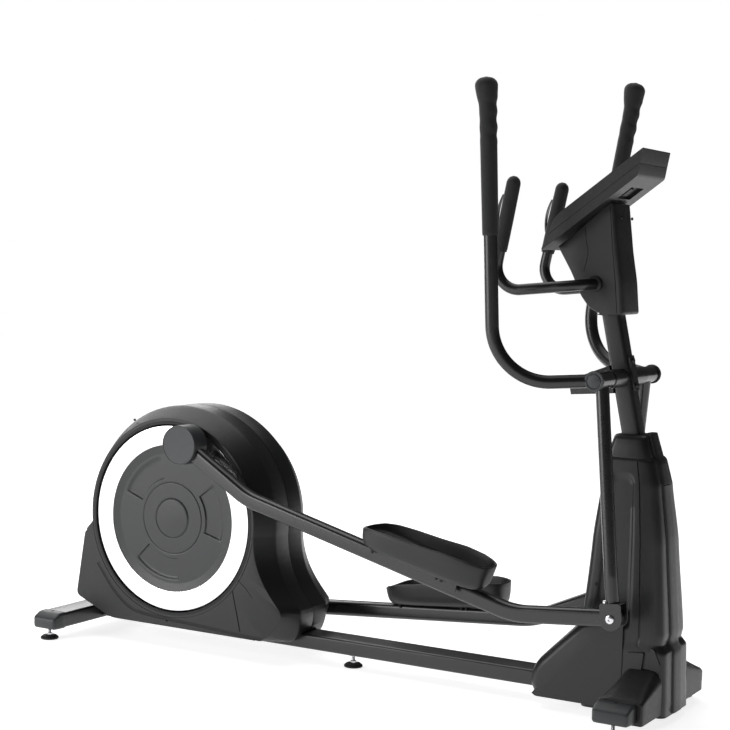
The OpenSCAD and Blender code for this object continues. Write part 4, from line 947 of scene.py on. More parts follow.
class TRAINER_OT_handles(bpy.types.Operator):
    """Makes the moving handlebars, their waved foam grips and the caps of the pivot"""
    bl_idname = "trainer.handles"
    bl_label = "Moving handlebars"

    def execute(self, context):
        sizes = context.scene.trainer_grips
        for side_name, side in SIDES.items():
            foot, corner, top, up, normal = handle_line(side)
            path = stations([foot, corner, top - up * 12 * MM], 150 * MM, 24)
            piece("handlebar_" + side_name, bar(path, circle_outline(BAR_R), normal), black_paint(),
                  side_name + "_swing", [side_name + "_handlebar"])
            self.grip(side_name, side, top, up, sizes)
            low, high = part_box(side_name + "_pivot_cap")
            near, far = sorted((abs(low.y), abs(high.y)))
            depth, r = far - near, (high.z - low.z) / 2
            profile = rounded([(0, 0), (r, 0), (r, depth), (r - 6 * MM, depth),
                               (r - 7 * MM, depth - 1.4 * MM), (r - 8.4 * MM, depth - 1.4 * MM), (r - 9.4 * MM, depth + 0.4 * MM),
                               (0, depth + 0.8 * MM)], 1.4 * MM, 3, False)
            piece("pivot_end_" + side_name,
                  turned(profile, (PIVOT.x, side * near, PIVOT.z), (0, side, 0), 72),
                  cap_plastic(), side_name + "_swing", [side_name + "_pivot_cap"])
        return {"FINISHED"}

    def grip(self, side_name, side, top, up, sizes):
        front = Vector((1, 0, 0))
        front = (front - up * front.dot(up)).normalized()
        across = up.cross(front)
        rings = []
        rows, count = 110, 56
        for j in range(rows + 1):
            s = j / rows
            along = (s - 1) * GRIP_LEN
            swell = smooth_step(0.78, 0.955, s)
            r = sizes.foam + 2 * MM * s + (sizes.knob - sizes.foam - 2 * MM) * swell
            close = max(0, (s - 0.94) / 0.06)
            r *= math.sqrt(max(1 - close ** 2.2, 0.0004))
            r -= 1.2 * MM * (1 - smooth_step(0, 0.012, s))
            shift = -3.5 * MM * swell
            wave = math.cos(2 * math.pi * sizes.waves * (s - 0.58) / 0.3)
            wave *= smooth_step(0.56, 0.62, s) * (1 - smooth_step(0.84, 0.9, s))
            ring = []
            for k in range(count):
                a = 2 * math.pi * k / count
                facing = max(math.cos(a), 0)
                bump = sizes.wave * wave * facing + 0.5 * MM * wave * max(-math.cos(a), 0)
                p = top + up * along + front * shift
                ring.append(p + (front * math.cos(a) + across * math.sin(a)) * (r + bump))
            rings.append(ring)
        grip = piece("grip_" + side_name, loft(rings), foam(), side_name + "_swing",
                     [side_name + "_grip"], crease=60)


# ---------- Pedals ----------

def pedal_plan(step, count=112):
    """The pedal seen from above, about its middle, drawn in by a step."""
    half_len, half_w = PEDAL_LEN / 2 - step, PEDAL_W / 2 - step
    out = []
    for k in range(count):
        a = 2 * math.pi * k / count
        c, s = math.cos(a), math.sin(a)
        power = 0.52 if c < 0 else 0.5
        out.append(Vector((half_len * math.copysign(abs(c) ** power, c),
                           half_w * math.copysign(abs(s) ** 0.62, s))))
    return out


PEDAL_LEN, PEDAL_W = 400 * MM, 152 * MM
PEDAL_X, PEDAL_Y = 878 * MM, 202 * MM   # middle of a pedal, from the crank pin
PEDAL_FLOOR = 38 * MM                   # floor above the base, at the heel
PEDAL_FALL = 0.075                      # slope of the floor
# Rim of a pedal: share of its length from the heel, and height above its base in millimetres
PEDAL_RIM = ((0, 46), (0.06, 55), (0.15, 61), (0.3, 65), (0.5, 69), (0.7, 76), (0.85, 75), (1, 69))
PEDAL_BASE = -63 * MM


def rim_height(x):
    """Height of a pedal's rim above the pin line, by the distance from the middle."""
    t = min(max((x + PEDAL_LEN / 2) / PEDAL_LEN, 0), 1)
    for (t0, h0), (t1, h1) in zip(PEDAL_RIM, PEDAL_RIM[1:]):
        if t <= t1:
            return PEDAL_BASE + (h0 + (h1 - h0) * (t - t0) / (t1 - t0)) * MM
    return PEDAL_BASE + h1 * MM


def foot_height(x):
    """Height of the floor under the shoe, which falls towards the front."""
    return PEDAL_BASE + PEDAL_FLOOR - PEDAL_FALL * (x + PEDAL_LEN / 2)


class TRAINER_OT_pedals(bpy.types.Operator):
    """Makes the pedals with their raised walls, dotted inserts and brackets"""
    bl_idname = "trainer.pedals"
    bl_label = "Pedals"

    def execute(self, context):
        sizes = context.scene.trainer_pedals
        for side_name, side in SIDES.items():
            matrix = arm_matrix(side_name)
            middle = Vector((PEDAL_X, side * PEDAL_Y, 0))
            wall = sizes.wall
            here = matrix @ Matrix.Translation(middle)
            rises = [0, 0.08, 0.25, 0.5, 0.8, 1]
            rings = [[Vector((p.x, p.y, PEDAL_BASE)) for p in pedal_plan(34 * MM)]]
            for rise, step in zip(rises, [24, 13, 7, 3.4, 1.2, 0]):
                rings.append([self.wall_point(p, PEDAL_BASE + 0.6 * MM, rise) for p in pedal_plan(step * MM)])
            for k in range(1, 6):
                a = math.pi * k / 6
                lift = Vector((0, 0, math.sin(a) * wall * 0.5))
                rings.append([self.wall_point(p, PEDAL_BASE, 1) + lift
                              for p in pedal_plan(wall * (1 - math.cos(a)) / 2)])
            for rise, step in zip(rises[::-1], [0, 1, 3, 6, 10, 16]):
                rings.append([self.wall_point(p, foot_height(p.x), rise)
                              for p in pedal_plan(step * MM + wall)])
            rings.append([Vector((p.x, p.y, foot_height(p.x))) for p in pedal_plan(44 * MM)])
            piece("pedal_" + side_name, moved(loft(rings), here), pedal_plastic(), side_name + "_arm",
                  [side_name + "_pedal"], crease=50)
            self.insert(side_name, here, sizes)
            self.bracket(side_name, here)
        return {"FINISHED"}

    def wall_point(self, p, floor, rise):
        return Vector((p.x, p.y, floor + (rim_height(p.x) - floor) * rise))

    def insert(self, side_name, here, sizes):
        outline = [Vector((p.x * 0.88, p.y * 0.82)) for p in pedal_plan(14 * MM)]
        mat = loft([[Vector((p.x * k, p.y * k, foot_height(p.x) + h)) for p in outline]
                    for k, h in ((1, 0), (1, 2.2 * MM), (0.985, 3.2 * MM))])
        dots = []
        half_w = 42 * MM
        step = sizes.dot_step
        profile = [(sizes.dot, 0), (sizes.dot, 0.7 * MM), (sizes.dot * 0.75, 1.4 * MM),
                   (sizes.dot * 0.3, 1.7 * MM), (0, 1.7 * MM)]
        for i in range(-10, 11):
            for j in range(-3, 4):
                x, y = i * step + (j % 2) * step / 2, j * step * 0.87
                if abs(x) < 150 * MM and abs(y) < half_w:
                    dots.append(turned(profile, (x, y, foot_height(x) + 3 * MM), (0, 0, 1), 10))
        piece("insert_" + side_name, moved(mat, here), pad_rubber(), side_name + "_arm",
              [side_name + "_pedal_pad"])
        piece("insert_dots_" + side_name, moved(merge(*dots), here), dark_plastic(), side_name + "_arm")

    def bracket(self, side_name, here):
        """Steel channel under the pedal that clasps the arm, and the screws that hold it."""
        top, deep, half = PEDAL_BASE + 0.4 * MM, 30 * MM, 24.5 * MM
        inner = half - 3 * MM
        section = [Vector(p) for p in ((-half, -deep), (-half, 0), (half, 0), (half, -deep), (inner, -deep),
                                       (inner, -3 * MM), (-inner, -3 * MM), (-inner, -deep))]
        ends = [[Vector((x, p.x, top + p.y)) for p in section] for x in (-160 * MM, 120 * MM)]
        obj = piece("pedal_plate_" + side_name, moved(loft(ends), here), arm_paint(), side_name + "_arm")
        bevelled(obj, 1 * MM, 2)
        down = here.to_3x3() @ Vector((0, 0, -1))
        shapes = []
        for x in (-150 * MM, 60 * MM, 76 * MM):
            for y in (-34 * MM, 34 * MM):
                place = here @ Vector((x, y, PEDAL_BASE + 1 * MM))
                shapes.append(turned(mm((0, 0), (6, 0), (6, 5), (4, 6), (4, 12),
                                        (0, 12)), place, down, 24))
        piece("pedal_screws_" + side_name, merge(*shapes), dark_plastic(), side_name + "_arm")


# ---------- Base ----------

class TRAINER_OT_base(bpy.types.Operator):
    """Makes the rail, the cross beams with their end caps and the levelling feet"""
    bl_idname = "trainer.base"
    bl_label = "Base"

    def execute(self, context):
        low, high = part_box("main_rail")
        mid = box_mid("main_rail")
        path = [(Vector((x, 0, mid.z)), Vector((1, 0, 0))) for x in (low.x, high.x)]
        piece("rail", bar(path, rect_outline(high.z - low.z, high.y - low.y, 8 * MM, 8)), rail_paint(), ROOT,
              ["main_rail"])
        for name in BEAMS:
            low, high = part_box(name)
            mid = box_mid(name)
            way = Vector((0, 1, 0))
            path = [(Vector((mid.x, low.y, mid.z)), way), (Vector((mid.x, high.y, mid.z)), way)]
            outline = rect_outline(high.z - low.z, high.x - low.x, 8 * MM, 8)
            piece(name + "_tube", bar(path, outline, (1, 0, 0)), rail_paint(), ROOT, [name])
        self.end_caps()
        self.feet()
        return {"FINISHED"}

    def end_caps(self):
        shapes = []
        cap_len, lip = 55 * MM, 2 * MM
        cap_low, cap_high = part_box("beam_end_caps")
        for name in BEAMS:
            low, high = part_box(name)
            mid = box_mid(name)
            w, h = high.x - low.x + 2 * lip, high.z - low.z + 2 * lip
            for side in SIDES.values():
                rings = []
                for along, sink, drop in ((0, 0.8, 0), (1.4, 0, 0), (20, 0, 0), (30, 0.4, 1.5), (46, 1.4, 10),
                                          (51, 3, 13), (54, 6, 16.5), (55, 10, 20)):
                    y = high.y + along * MM
                    outline = rect_outline(w - 2 * sink * MM, h - 2 * sink * MM, 10 * MM - sink * 0.4 * MM, 6)
                    ring = []
                    for p in outline:
                        z = p.y if p.y < 0 else p.y - drop * MM * (p.y / (h / 2))
                        ring.append(Vector((mid.x + p.x, side * y, mid.z + z)))
                    rings.append(ring)
                shapes.append(loft(rings))
        piece("end_caps", merge(*shapes), cap_plastic(), ROOT, ["beam_end_caps"], crease=32)
        places = []
        for name in BEAMS:
            low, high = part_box(name)
            for side in SIDES.values():
                places.append(Vector(((low.x + high.x) / 2, side * (high.y + 12 * MM), high.z + 1.6 * MM)))
        screw_heads("end_cap_screws", places, lambda p: (0, 0, 1), ROOT, 5 * MM)

    def feet(self):
        for foot in [n for n in frame["nodes"] if n.startswith("foot_") and n != "foot_covers"]:
            low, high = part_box(foot)
            r = (high.x - low.x) / 2
            at = ((low.x + high.x) / 2, (low.y + high.y) / 2, 0)
            pad = [(0, 0), (r - 1.5 * MM, 0), (r, 1.6 * MM), (r, 5 * MM), (r - 2 * MM, 7.6 * MM),
                   (r - 5 * MM, 9 * MM), (r - 6 * MM, 11 * MM), (r - 9 * MM, 12 * MM), (8 * MM, 12.4 * MM),
                   (0, 12.4 * MM)]
            piece(foot + "_pad", turned(pad, at, (0, 0, 1), 64), rubber(), foot, [foot])
            thread = mm((0, 10))
            for k in range(int((high.z - 12 * MM) / (1.5 * MM))):
                z = 12 * MM + k * 1.5 * MM
                thread += [(4.2 * MM, z), (5 * MM, z + 0.75 * MM)]
            thread += [(4.2 * MM, high.z), (0, high.z)]
            nut = mm((0, 12.4), (10, 12.4), (10, 17.5), (9, 18.4),
                     (0, 18.4))
            piece(foot + "_stem", merge(turned(thread, at, (0, 0, 1), 24), turned(nut, at, (0, 0, 1), 6)),
                  zinc(), foot, crease=30)


# ---------- Shroud ----------

SHROUD_SECTIONS = ((24, -60, 182, 98), (196, -64, 177, 96), (214, -66, 162, 93), (236, -68, 168, 92),
                   (480, -50, 150, 80), (635, -33, 130, 70), (698, -27, 114, 64), (705, -24, 109, 60))


def shroud_section(z):
    """Rear, front and half width of the column at a height, all in millimetres from the pivot."""
    rows = SHROUD_SECTIONS
    for (z0, *a), (z1, *b) in zip(rows, rows[1:]):
        if z0 <= z <= z1:
            t = (z - z0) / (z1 - z0)
            if z1 - z0 > 100:
                t = t * 0.75 + smooth_step(0, 1, t) * 0.25
            return [p + (q - p) * t for p, q in zip(a, b)]
    return list(rows[-1][1:])


def shroud_half(side_name, side):
    levels = [24, 60, 110, 160, 185, 194, 198, 205, 212, 216, 222, 230, 238, 246]
    levels += [250 + 8 * k for k in range(52)] + [664, 668, 672, 676, 680, 684, 688, 692, 696, 699, 701.5,
                                                  703.5, 705]
    across = [0, 0.02, 0.06, 0.09, 0.11, 0.13, 0.16, 0.25, 0.38, 0.5, 0.56, 0.6, 0.62, 0.64, 0.68, 0.74,
              0.765, 0.775, 0.785, 0.795, 0.82, 0.9, 1.0]
    rings = []
    for z in levels:
        rear, front, half = shroud_section(z)
        ring = [Vector((rear, 0.2)), Vector((rear, half * 0.35)), Vector((rear, half - 30))]
        ring += [Vector((rear + 22 - 22 * math.cos(a), half - 22 + 22 * math.sin(a)))
                 for a in (math.radians(k * 15) for k in range(1, 6))]
        for t in across:
            x = rear + 22 + (front - rear - 44) * t
            arch = 664 - 150 * max(0, abs(t - 0.36) - 0.17)
            inside = smooth_step(0.085, 0.135, t) * (1 - smooth_step(0.595, 0.645, t))
            inside *= smooth_step(250, 262, z) * (1 - smooth_step(arch - 10, arch, z))
            dip = 5 * inside
            crease = 1 - smooth_step(0.002, 0.013, abs(t - 0.78))
            dip += 3 * crease * smooth_step(205, 240, z)
            ring.append(Vector((x, half - dip)))
        ring += [Vector((front - 22 + 22 * math.sin(a), half - 22 + 22 * math.cos(a)))
                 for a in (math.radians(k * 15) for k in range(1, 6))]
        ring += [Vector((front, half - 30)), Vector((front, half * 0.35)), Vector((front, 0.2))]
        rings.append([Vector((PIVOT.x + p.x * MM, side * p.y * MM, z * MM)) for p in ring])
    top = [p.lerp(Vector((PIVOT.x + 42 * MM, 0, 0.706)), 0.35) for p in rings[-1]]
    rings.append([Vector((p.x, p.y, 0.706)) for p in top])
    shape = ([p for ring in rings for p in ring], sheet_faces(len(rings), len(rings[0])))
    cover = piece("shroud_cover_" + side_name, shape, shroud_plastic(), ROOT,
                  ["shroud_" + side_name], crease=40)
    thickened(cover, SHROUD_WALL)


class TRAINER_OT_shroud(bpy.types.Operator):
    """Makes the covers round the mast's foot: column, rail fairing, collar, front strip and foot covers"""
    bl_idname = "trainer.shroud"
    bl_label = "Shroud"

    def execute(self, context):
        for side_name, side in SIDES.items():
            shroud_half(side_name, side)
            self.fairing(side_name, side)
            self.details(side_name, side)
        self.collar()
        self.front_strip()
        self.foot_covers()
        return {"FINISHED"}

    def fairing(self, side_name, side):
        """The wedge that runs back over the rail."""
        outline = [Vector(p) for p in ((-196, 31), (60, 31), (60, 300), (-60, 262), (-190, 132), (-206, 106),
                                       (-212, 62))]
        outline = rounded(outline, [14, 4, 4, 26, 20, 14, 12], 5)
        inward = []
        for i, p in enumerate(outline):
            along = outline[(i + 1) % len(outline)] - outline[i - 1]
            normal = Vector((along.y, -along.x)).normalized()
            facing = smooth_step(-0.2, 0.5, max(-normal.x, 0) + max(normal.y, 0)) * (normal.y > -0.6)
            inward.append(normal * (-facing if p.x < 50 else 0))
        rings = []
        for y, step in ((0.3, 0), (70, 0), (80, 2), (88, 7), (94, 14), (97.6, 21), (98.8, 26)):
            rings.append([Vector((PIVOT.x + (p.x + n.x * step) * MM, side * y * MM, (p.y + n.y * step) * MM))
                          for p, n in zip(outline, inward)])
        piece("rail_fairing_" + side_name, loft(rings), shroud_plastic(), ROOT,
              crease=45)

    def details(self, side_name, side):
        boss = [Vector(p) for p in ((58, 100), (112, 104), (122, 196), (74, 190))]
        boss = [Vector((PIVOT.x + p.x * MM, p.y * MM)) for p in rounded(boss, 5, 4)]
        raised = piece("boss_" + side_name, slab(boss, *sorted((side * 90 * MM, side * 103 * MM))),
                       shroud_plastic(), ROOT)
        bevelled(raised, 2.5 * MM, 3)
        flap = [Vector(p) for p in ((138, 92), (168, 96), (167, 168), (150, 206), (139, 210))]
        flap = [Vector((PIVOT.x + p.x * MM, p.y * MM)) for p in rounded(flap, 4, 4)]
        plate = piece("flap_" + side_name, slab(flap, *sorted((side * 88 * MM, side * 99 * MM))),
                      shroud_plastic(), ROOT)
        bevelled(plate, 2 * MM, 3)
        places = [Vector((PIVOT.x - 26 * MM, side * 86.4 * MM, 0.359)),
                  Vector((PIVOT.x + 156 * MM, side * 98.6 * MM, 0.128))]
        screw_heads("shroud_screws_" + side_name, places, lambda p: (0, math.copysign(1, p.y), 0), ROOT,
                    5 * MM)

    def collar(self):
        rows = ((700, -23, 105, 61, 20), (704, -22, 105, 60.5, 20), (730, -16, 97, 58, 19),
                (752, -9, 91, 55, 18), (760, -7, 88, 52, 17), (764, -4, 84, 47, 16), (765, 2, 78, 40, 15))
        rings = []
        for z, rear, front, half, r in rows:
            outline = rect_outline((front - rear) * MM, 2 * half * MM, r * MM, 8)
            mid = PIVOT.x + (front + rear) / 2 * MM
            rings.append([Vector((mid + p.x, p.y, z * MM)) for p in outline])
        piece("collar", loft(rings), shroud_plastic(), ROOT, ["shroud_collar"], crease=40)

    def front_strip(self):
        """Raised centre strip down the front of the column, in two lengths."""
        for name, levels in (("front_strip_low", [26 + k * 15.2 for k in range(41)]),
                             ("front_strip_high", [636 + k * 8.4 for k in range(17)])):
            rings = []
            for z in levels:
                front = shroud_section(z)[1] if z < 700 else 109 - (z - 705) * 0.32
                half = 34 - 8 * smooth_step(500, 770, z)
                profile = [(half, -14), (half, 1), (half - 1.6, 3.4), (half - 5, 4.6), (half * 0.4, 5.4),
                           (-half * 0.4, 5.4), (5 - half, 4.6), (1.6 - half, 3.4), (-half, 1), (-half, -14)]
                rings.append([Vector((PIVOT.x + (front + x) * MM, y * MM, z * MM)) for y, x in profile])
            strip = piece(name, loft(rings), trim_plastic(), ROOT, crease=40)
            bevelled(strip, 1 * MM, 2, 60)

    def foot_covers(self):
        low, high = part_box("foot_covers")
        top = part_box("front_beam")[1].z
        shapes = []
        for side in SIDES.values():
            rings = []
            for y, rise, step in ((97, 62, 0), (110, 58, 0), (160, 39, 0), (205, 21, 0), (228, 11, 0),
                                  (234, 7.5, 1.5), (236, 4, 4)):
                pts = [(low.x + step * MM, 34 * MM), (high.x - step * MM, 34 * MM),
                       (high.x - step * MM, top + rise * 0.55 * MM),
                       (high.x - (18 + step) * MM, top + rise * MM), (low.x + (30 + step) * MM, top + rise * MM), (low.x + step * MM, top + 3 * MM)]
                outline = rounded(pts, [2 * MM, 2 * MM, 12 * MM, 12 * MM, 16 * MM, 8 * MM], 5)
                rings.append([Vector((p.x, side * y * MM, p.y)) for p in outline])
            shapes.append(loft(rings))
        piece("front_foot_covers", merge(*shapes), trim_plastic(), ROOT,
              ["foot_covers"], crease=40)


# ---------- Mast, console and fixed handlebar ----------

def at_pivot(x, z):
    return Vector((PIVOT.x + x * MM, PIVOT.z + z * MM))


class TRAINER_OT_mast(bpy.types.Operator):
    """Makes the mast and its cross tube"""
    bl_idname = "trainer.mast"
    bl_label = "Mast"

    def execute(self, context):
        low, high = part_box("mast")
        slope = math.tan(math.radians(MAST_LEAN))
        way = Vector((-slope, 0, 1)).normalized()
        points = [(Vector((PIVOT.x - (z - PIVOT.z) * slope, 0, z)), way) for z in (low.z, high.z)]
        piece("mast_tube", bar(points, rect_outline(MAST_SIZE, MAST_SIZE, 9 * MM, 8)), black_paint(), ROOT,
              ["mast"])
        r, half = 25 * MM, 116 * MM
        profile = [(r - 8 * MM, -half), (r - 1.5 * MM, -half), (r, 1.5 * MM - half), (r, half - 1.5 * MM),
                   (r - 1.5 * MM, half), (r - 8 * MM, half), (r - 8 * MM, -half)]
        piece("cross_tube", turned(profile, (PIVOT.x, 0, PIVOT.z), count=72), black_paint(), ROOT,
              ["pivot_tube"])
        soften("pivot_saddle", 1.2 * MM)
        return {"FINISHED"}


def soften(name, width):
    """Eases the edges of a frame part that stays in view."""
    obj = frame["nodes"][name]
    weld = obj.modifiers.new("weld", "WELD")
    weld.merge_threshold = 1e-5
    bevelled(obj, width, 2, 40)


CONSOLE_UNDER = ((-214, 337), (57, 539))
CONSOLE_FACE = ((-177, 429.6), (71, 614))


def display_matrix():
    """Frame on the display: X up along it from its low end, Y across, Z out of it."""
    low, high = at_pivot(*CONSOLE_FACE[0]), at_pivot(*CONSOLE_FACE[1])
    way = (high - low).normalized()
    return Matrix(((way.x, 0, -way.y, low.x), (0, 1, 0, 0), (way.y, 0, way.x, low.y), (0, 0, 0, 1)))


class TRAINER_OT_console(bpy.types.Operator):
    """Makes the console's two shells, its bezel and the neck below it"""
    bl_idname = "trainer.console"
    bl_label = "Console"

    def execute(self, context):
        half = (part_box("console_front")[1].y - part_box("console_front")[0].y) / 2
        a, b = at_pivot(*CONSOLE_UNDER[0]), at_pivot(*CONSOLE_UNDER[1])
        d, c = at_pivot(*CONSOLE_FACE[0]), at_pivot(*CONSOLE_FACE[1])
        split = 0.45
        low_mid, high_mid = a.lerp(d, split), b.lerp(c, split)
        gap = (c - b).normalized() * 0.6 * MM
        back = rounded([a, b, high_mid - gap, low_mid - gap], [9 * MM, 6 * MM, 0.5 * MM, 0.5 * MM], 4)
        front = rounded([low_mid + gap, high_mid + gap, c, d], [0.5 * MM, 0.5 * MM, 5 * MM, 34 * MM], 6)
        lower = piece("console_lower", slab(back, -half, half), trim_plastic(), ROOT,
                      ["console_back"])
        under = Matrix(((0.8018, 0, -0.5976, b.x), (0, 1, 0, 0), (0.5976, 0, 0.8018, b.y), (0, 0, 0, 1)))
        carved(lower, moved(block((-96 * MM, -46 * MM, -6 * MM), (-46 * MM, 44 * MM, 9 * MM)), under))
        bevelled(lower, PANEL_EASE, 3, 40)
        port = moved(block((-88 * MM, -20 * MM, 4 * MM), (-58 * MM, 6 * MM, 10 * MM)), under)
        socket = piece("console_port", port, dark_plastic(), ROOT)
        bevelled(socket, 1 * MM, 2)
        upper = piece("console_upper", slab(front, -half, half), trim_plastic(), ROOT,
                      ["console_front"])
        face = display_matrix()
        carved(upper, moved(block((119.6 * MM, -80.4 * MM, -7 * MM), (280.4 * MM, 80.4 * MM, 0.02)), face))
        for y in (-45 * MM, 0, 45 * MM):
            carved(upper, turned(mm((0, -10), (10.6, -10), (10.6, 20), (0, 20)),
                                 face @ Vector((62 * MM, y, 0)), face.to_3x3() @ Vector((0, 0, 1)), 40))
        bevelled(upper, PANEL_EASE, 3, 40)
        soften("console_screen", 0.6 * MM)
        for button in ("start_button", "up_button", "down_button"):
            soften(button, 1 * MM)
        self.neck()
        return {"FINISHED"}

    def neck(self):
        half = 60 * MM
        points = [(-43, 166), (16, 172), (8, 260), (-6, 340), (-22, 470), (-184, 350), (-140, 277),
                  (-117, 224), (-87, 186)]
        outline = rounded([at_pivot(*p) for p in points],
                          [v * MM for v in (16, 8, 10, 10, 4, 4, 20, 20, 14)], 5)
        mid = at_pivot(-55, 300)
        rings = []
        for y, step in ((-60, 10), (-59, 5), (-56, 2), (-50, 0), (-0.8, 0), (-0.5, 0.8), (0.5, 0.8), (0.8, 0),
                        (50, 0), (56, 2), (59, 5), (60, 10)):
            ring = []
            for p in outline:
                toward = (mid - p)
                toward.y = 0
                shift = toward.normalized() * step * MM if toward.length > 1e-6 else toward
                ring.append(Vector((p.x + shift.x, y * MM, p.y)))
            rings.append(ring)
        neck = piece("neck", loft(rings), trim_plastic(), ROOT, ["neck_cover"], crease=38)
        under = [at_pivot(*p) for p in ((-260, 303.6), (100, 571.9), (60, 640), (-300, 380))]
        carved(neck, slab(under, -0.2, 0.2), 38)
        seam = [at_pivot(*p) for p in ((-102, 402), (-99, 366), (-92, 339), (-96, 312), (-103, 285))]
        for side in SIDES.values():
            carved(neck, channel(seam, 1.6 * MM, half, 2 * MM, side), 38)
            edge = [at_pivot(*p) for p in ((-34, 462), (-22, 340), (-12, 260), (-4, 176))]
            carved(neck, channel(edge, 1.4 * MM, half, 9 * MM, side), 38)
        places = [Vector((PIVOT.x + x * MM, y * MM, PIVOT.z + z * MM))
                  for x, z in ((-7, 430), (11, 210)) for y in (-38, 38)]
        screw_heads("neck_screws", places, lambda p: (1, 0, 0.08), ROOT, 4 * MM)


def fixed_line(side):
    """Centre line of one arm of the fixed handlebar."""
    points = ((-55, 0, 255), (-93, 150, 246), (-331, 155, 222), (-268, 163, 535))
    return [Vector((PIVOT.x + x * MM, side * y * MM, PIVOT.z + z * MM)) for x, y, z in points]


class TRAINER_OT_fixed_handlebar(bpy.types.Operator):
    """Makes the fixed handlebar with its foam grips, pulse blades and collars"""
    bl_idname = "trainer.fixed_handlebar"
    bl_label = "Fixed handlebar"

    def execute(self, context):
        tubes, collars, blades = [], [], []
        for side_name, side in SIDES.items():
            line = fixed_line(side)
            up = (line[3] - line[2]).normalized()
            tubes.append(bar(stations(line[:3] + [line[3] - up * 8 * MM], 62 * MM, 16),
                             circle_outline(15 * MM)))
            grip_path = [(line[3] - up * (205 - k * 4.1) * MM, up) for k in range(51)]
            sizes = [1 - 0.06 * smooth_step(0.96, 1.0, 1 - k / 50) - (1 - math.sqrt(max(
                1 - max(0, k - 45) ** 2 / 27, 0.01))) for k in range(51)]
            sizes = [s * (1 + 0.03 * math.sin(math.pi * k / 50)) for k, s in enumerate(sizes)]
            grip = piece("fixed_grip_" + side_name, bar(grip_path, circle_outline(19.2 * MM), sizes=sizes),
                         foam(), ROOT, ["fixed_grips"], crease=60)
            blades.append(self.blade(line, up))
            way = (line[1] - line[0]).normalized()
            place = line[0] + way * (60 * MM / abs(way.y))
            collars.append(turned(mm((15.4, -2), (22, -2), (22, 2), (19, 5),
                                     (15.4, 6), (15.4, -2)), place, way, 48))
        piece("fixed_bar", merge(*tubes), black_paint(), ROOT, ["fixed_handlebar"], crease=40)
        piece("bar_collars", merge(*collars), rubber(), ROOT)
        piece("pulse_blades", merge(*blades), dark_chrome(), ROOT, ["pulse_plates"])
        return {"FINISHED"}

    def blade(self, line, up):
        """A thin curved plate that stands behind a grip."""
        back = Vector((-1, 0, 0))
        back = (back - up * back.dot(up)).normalized()
        across = up.cross(back)
        rings = []
        for k in range(25):
            t = k / 24
            place = line[3] - up * (150 - 96 * t) * MM
            out = 19.4 * MM + 7 * MM * math.sin(math.pi * t) ** 0.8 + 3 * MM * t
            half = 8 * MM * math.sin(math.pi * (0.12 + 0.76 * t))
            thick = 1.1 * MM
            rings.append([place + back * (out + s * thick) + across * w * half
                          for w, s in ((-1, -1), (1, -1), (1, 1), (-1, 1))])
        return loft(rings)


# ---------- Frame parts and stage ----------

class TRAINER_OT_frame(bpy.types.Operator):
    """Gives every frame part that stays in view its finish"""
    bl_idname = "trainer.frame"
    bl_label = "Frame finishes"

    def execute(self, context):
        slots = {s["node"]: s["material_slot"] for s in frame["record"]["subparts"]}
        for name, obj in frame["nodes"].items():
            made = SLOT_FINISH[slots[name]]()
            obj.data.materials.clear()
            obj.data.materials.append(made)
        return {"FINISHED"}


def panel(name, place, aim, size, power):
    light = bpy.data.lights.new(name, "AREA")
    light.shape = "RECTANGLE"
    light.size, light.size_y = size
    light.energy = power
    obj = bpy.data.objects.new(name, light)
    obj.location = place
    obj.rotation_euler = (Vector(aim) - Vector(place)).to_track_quat("-Z", "Y").to_euler()
    bpy.context.scene.collection.objects.link(obj)


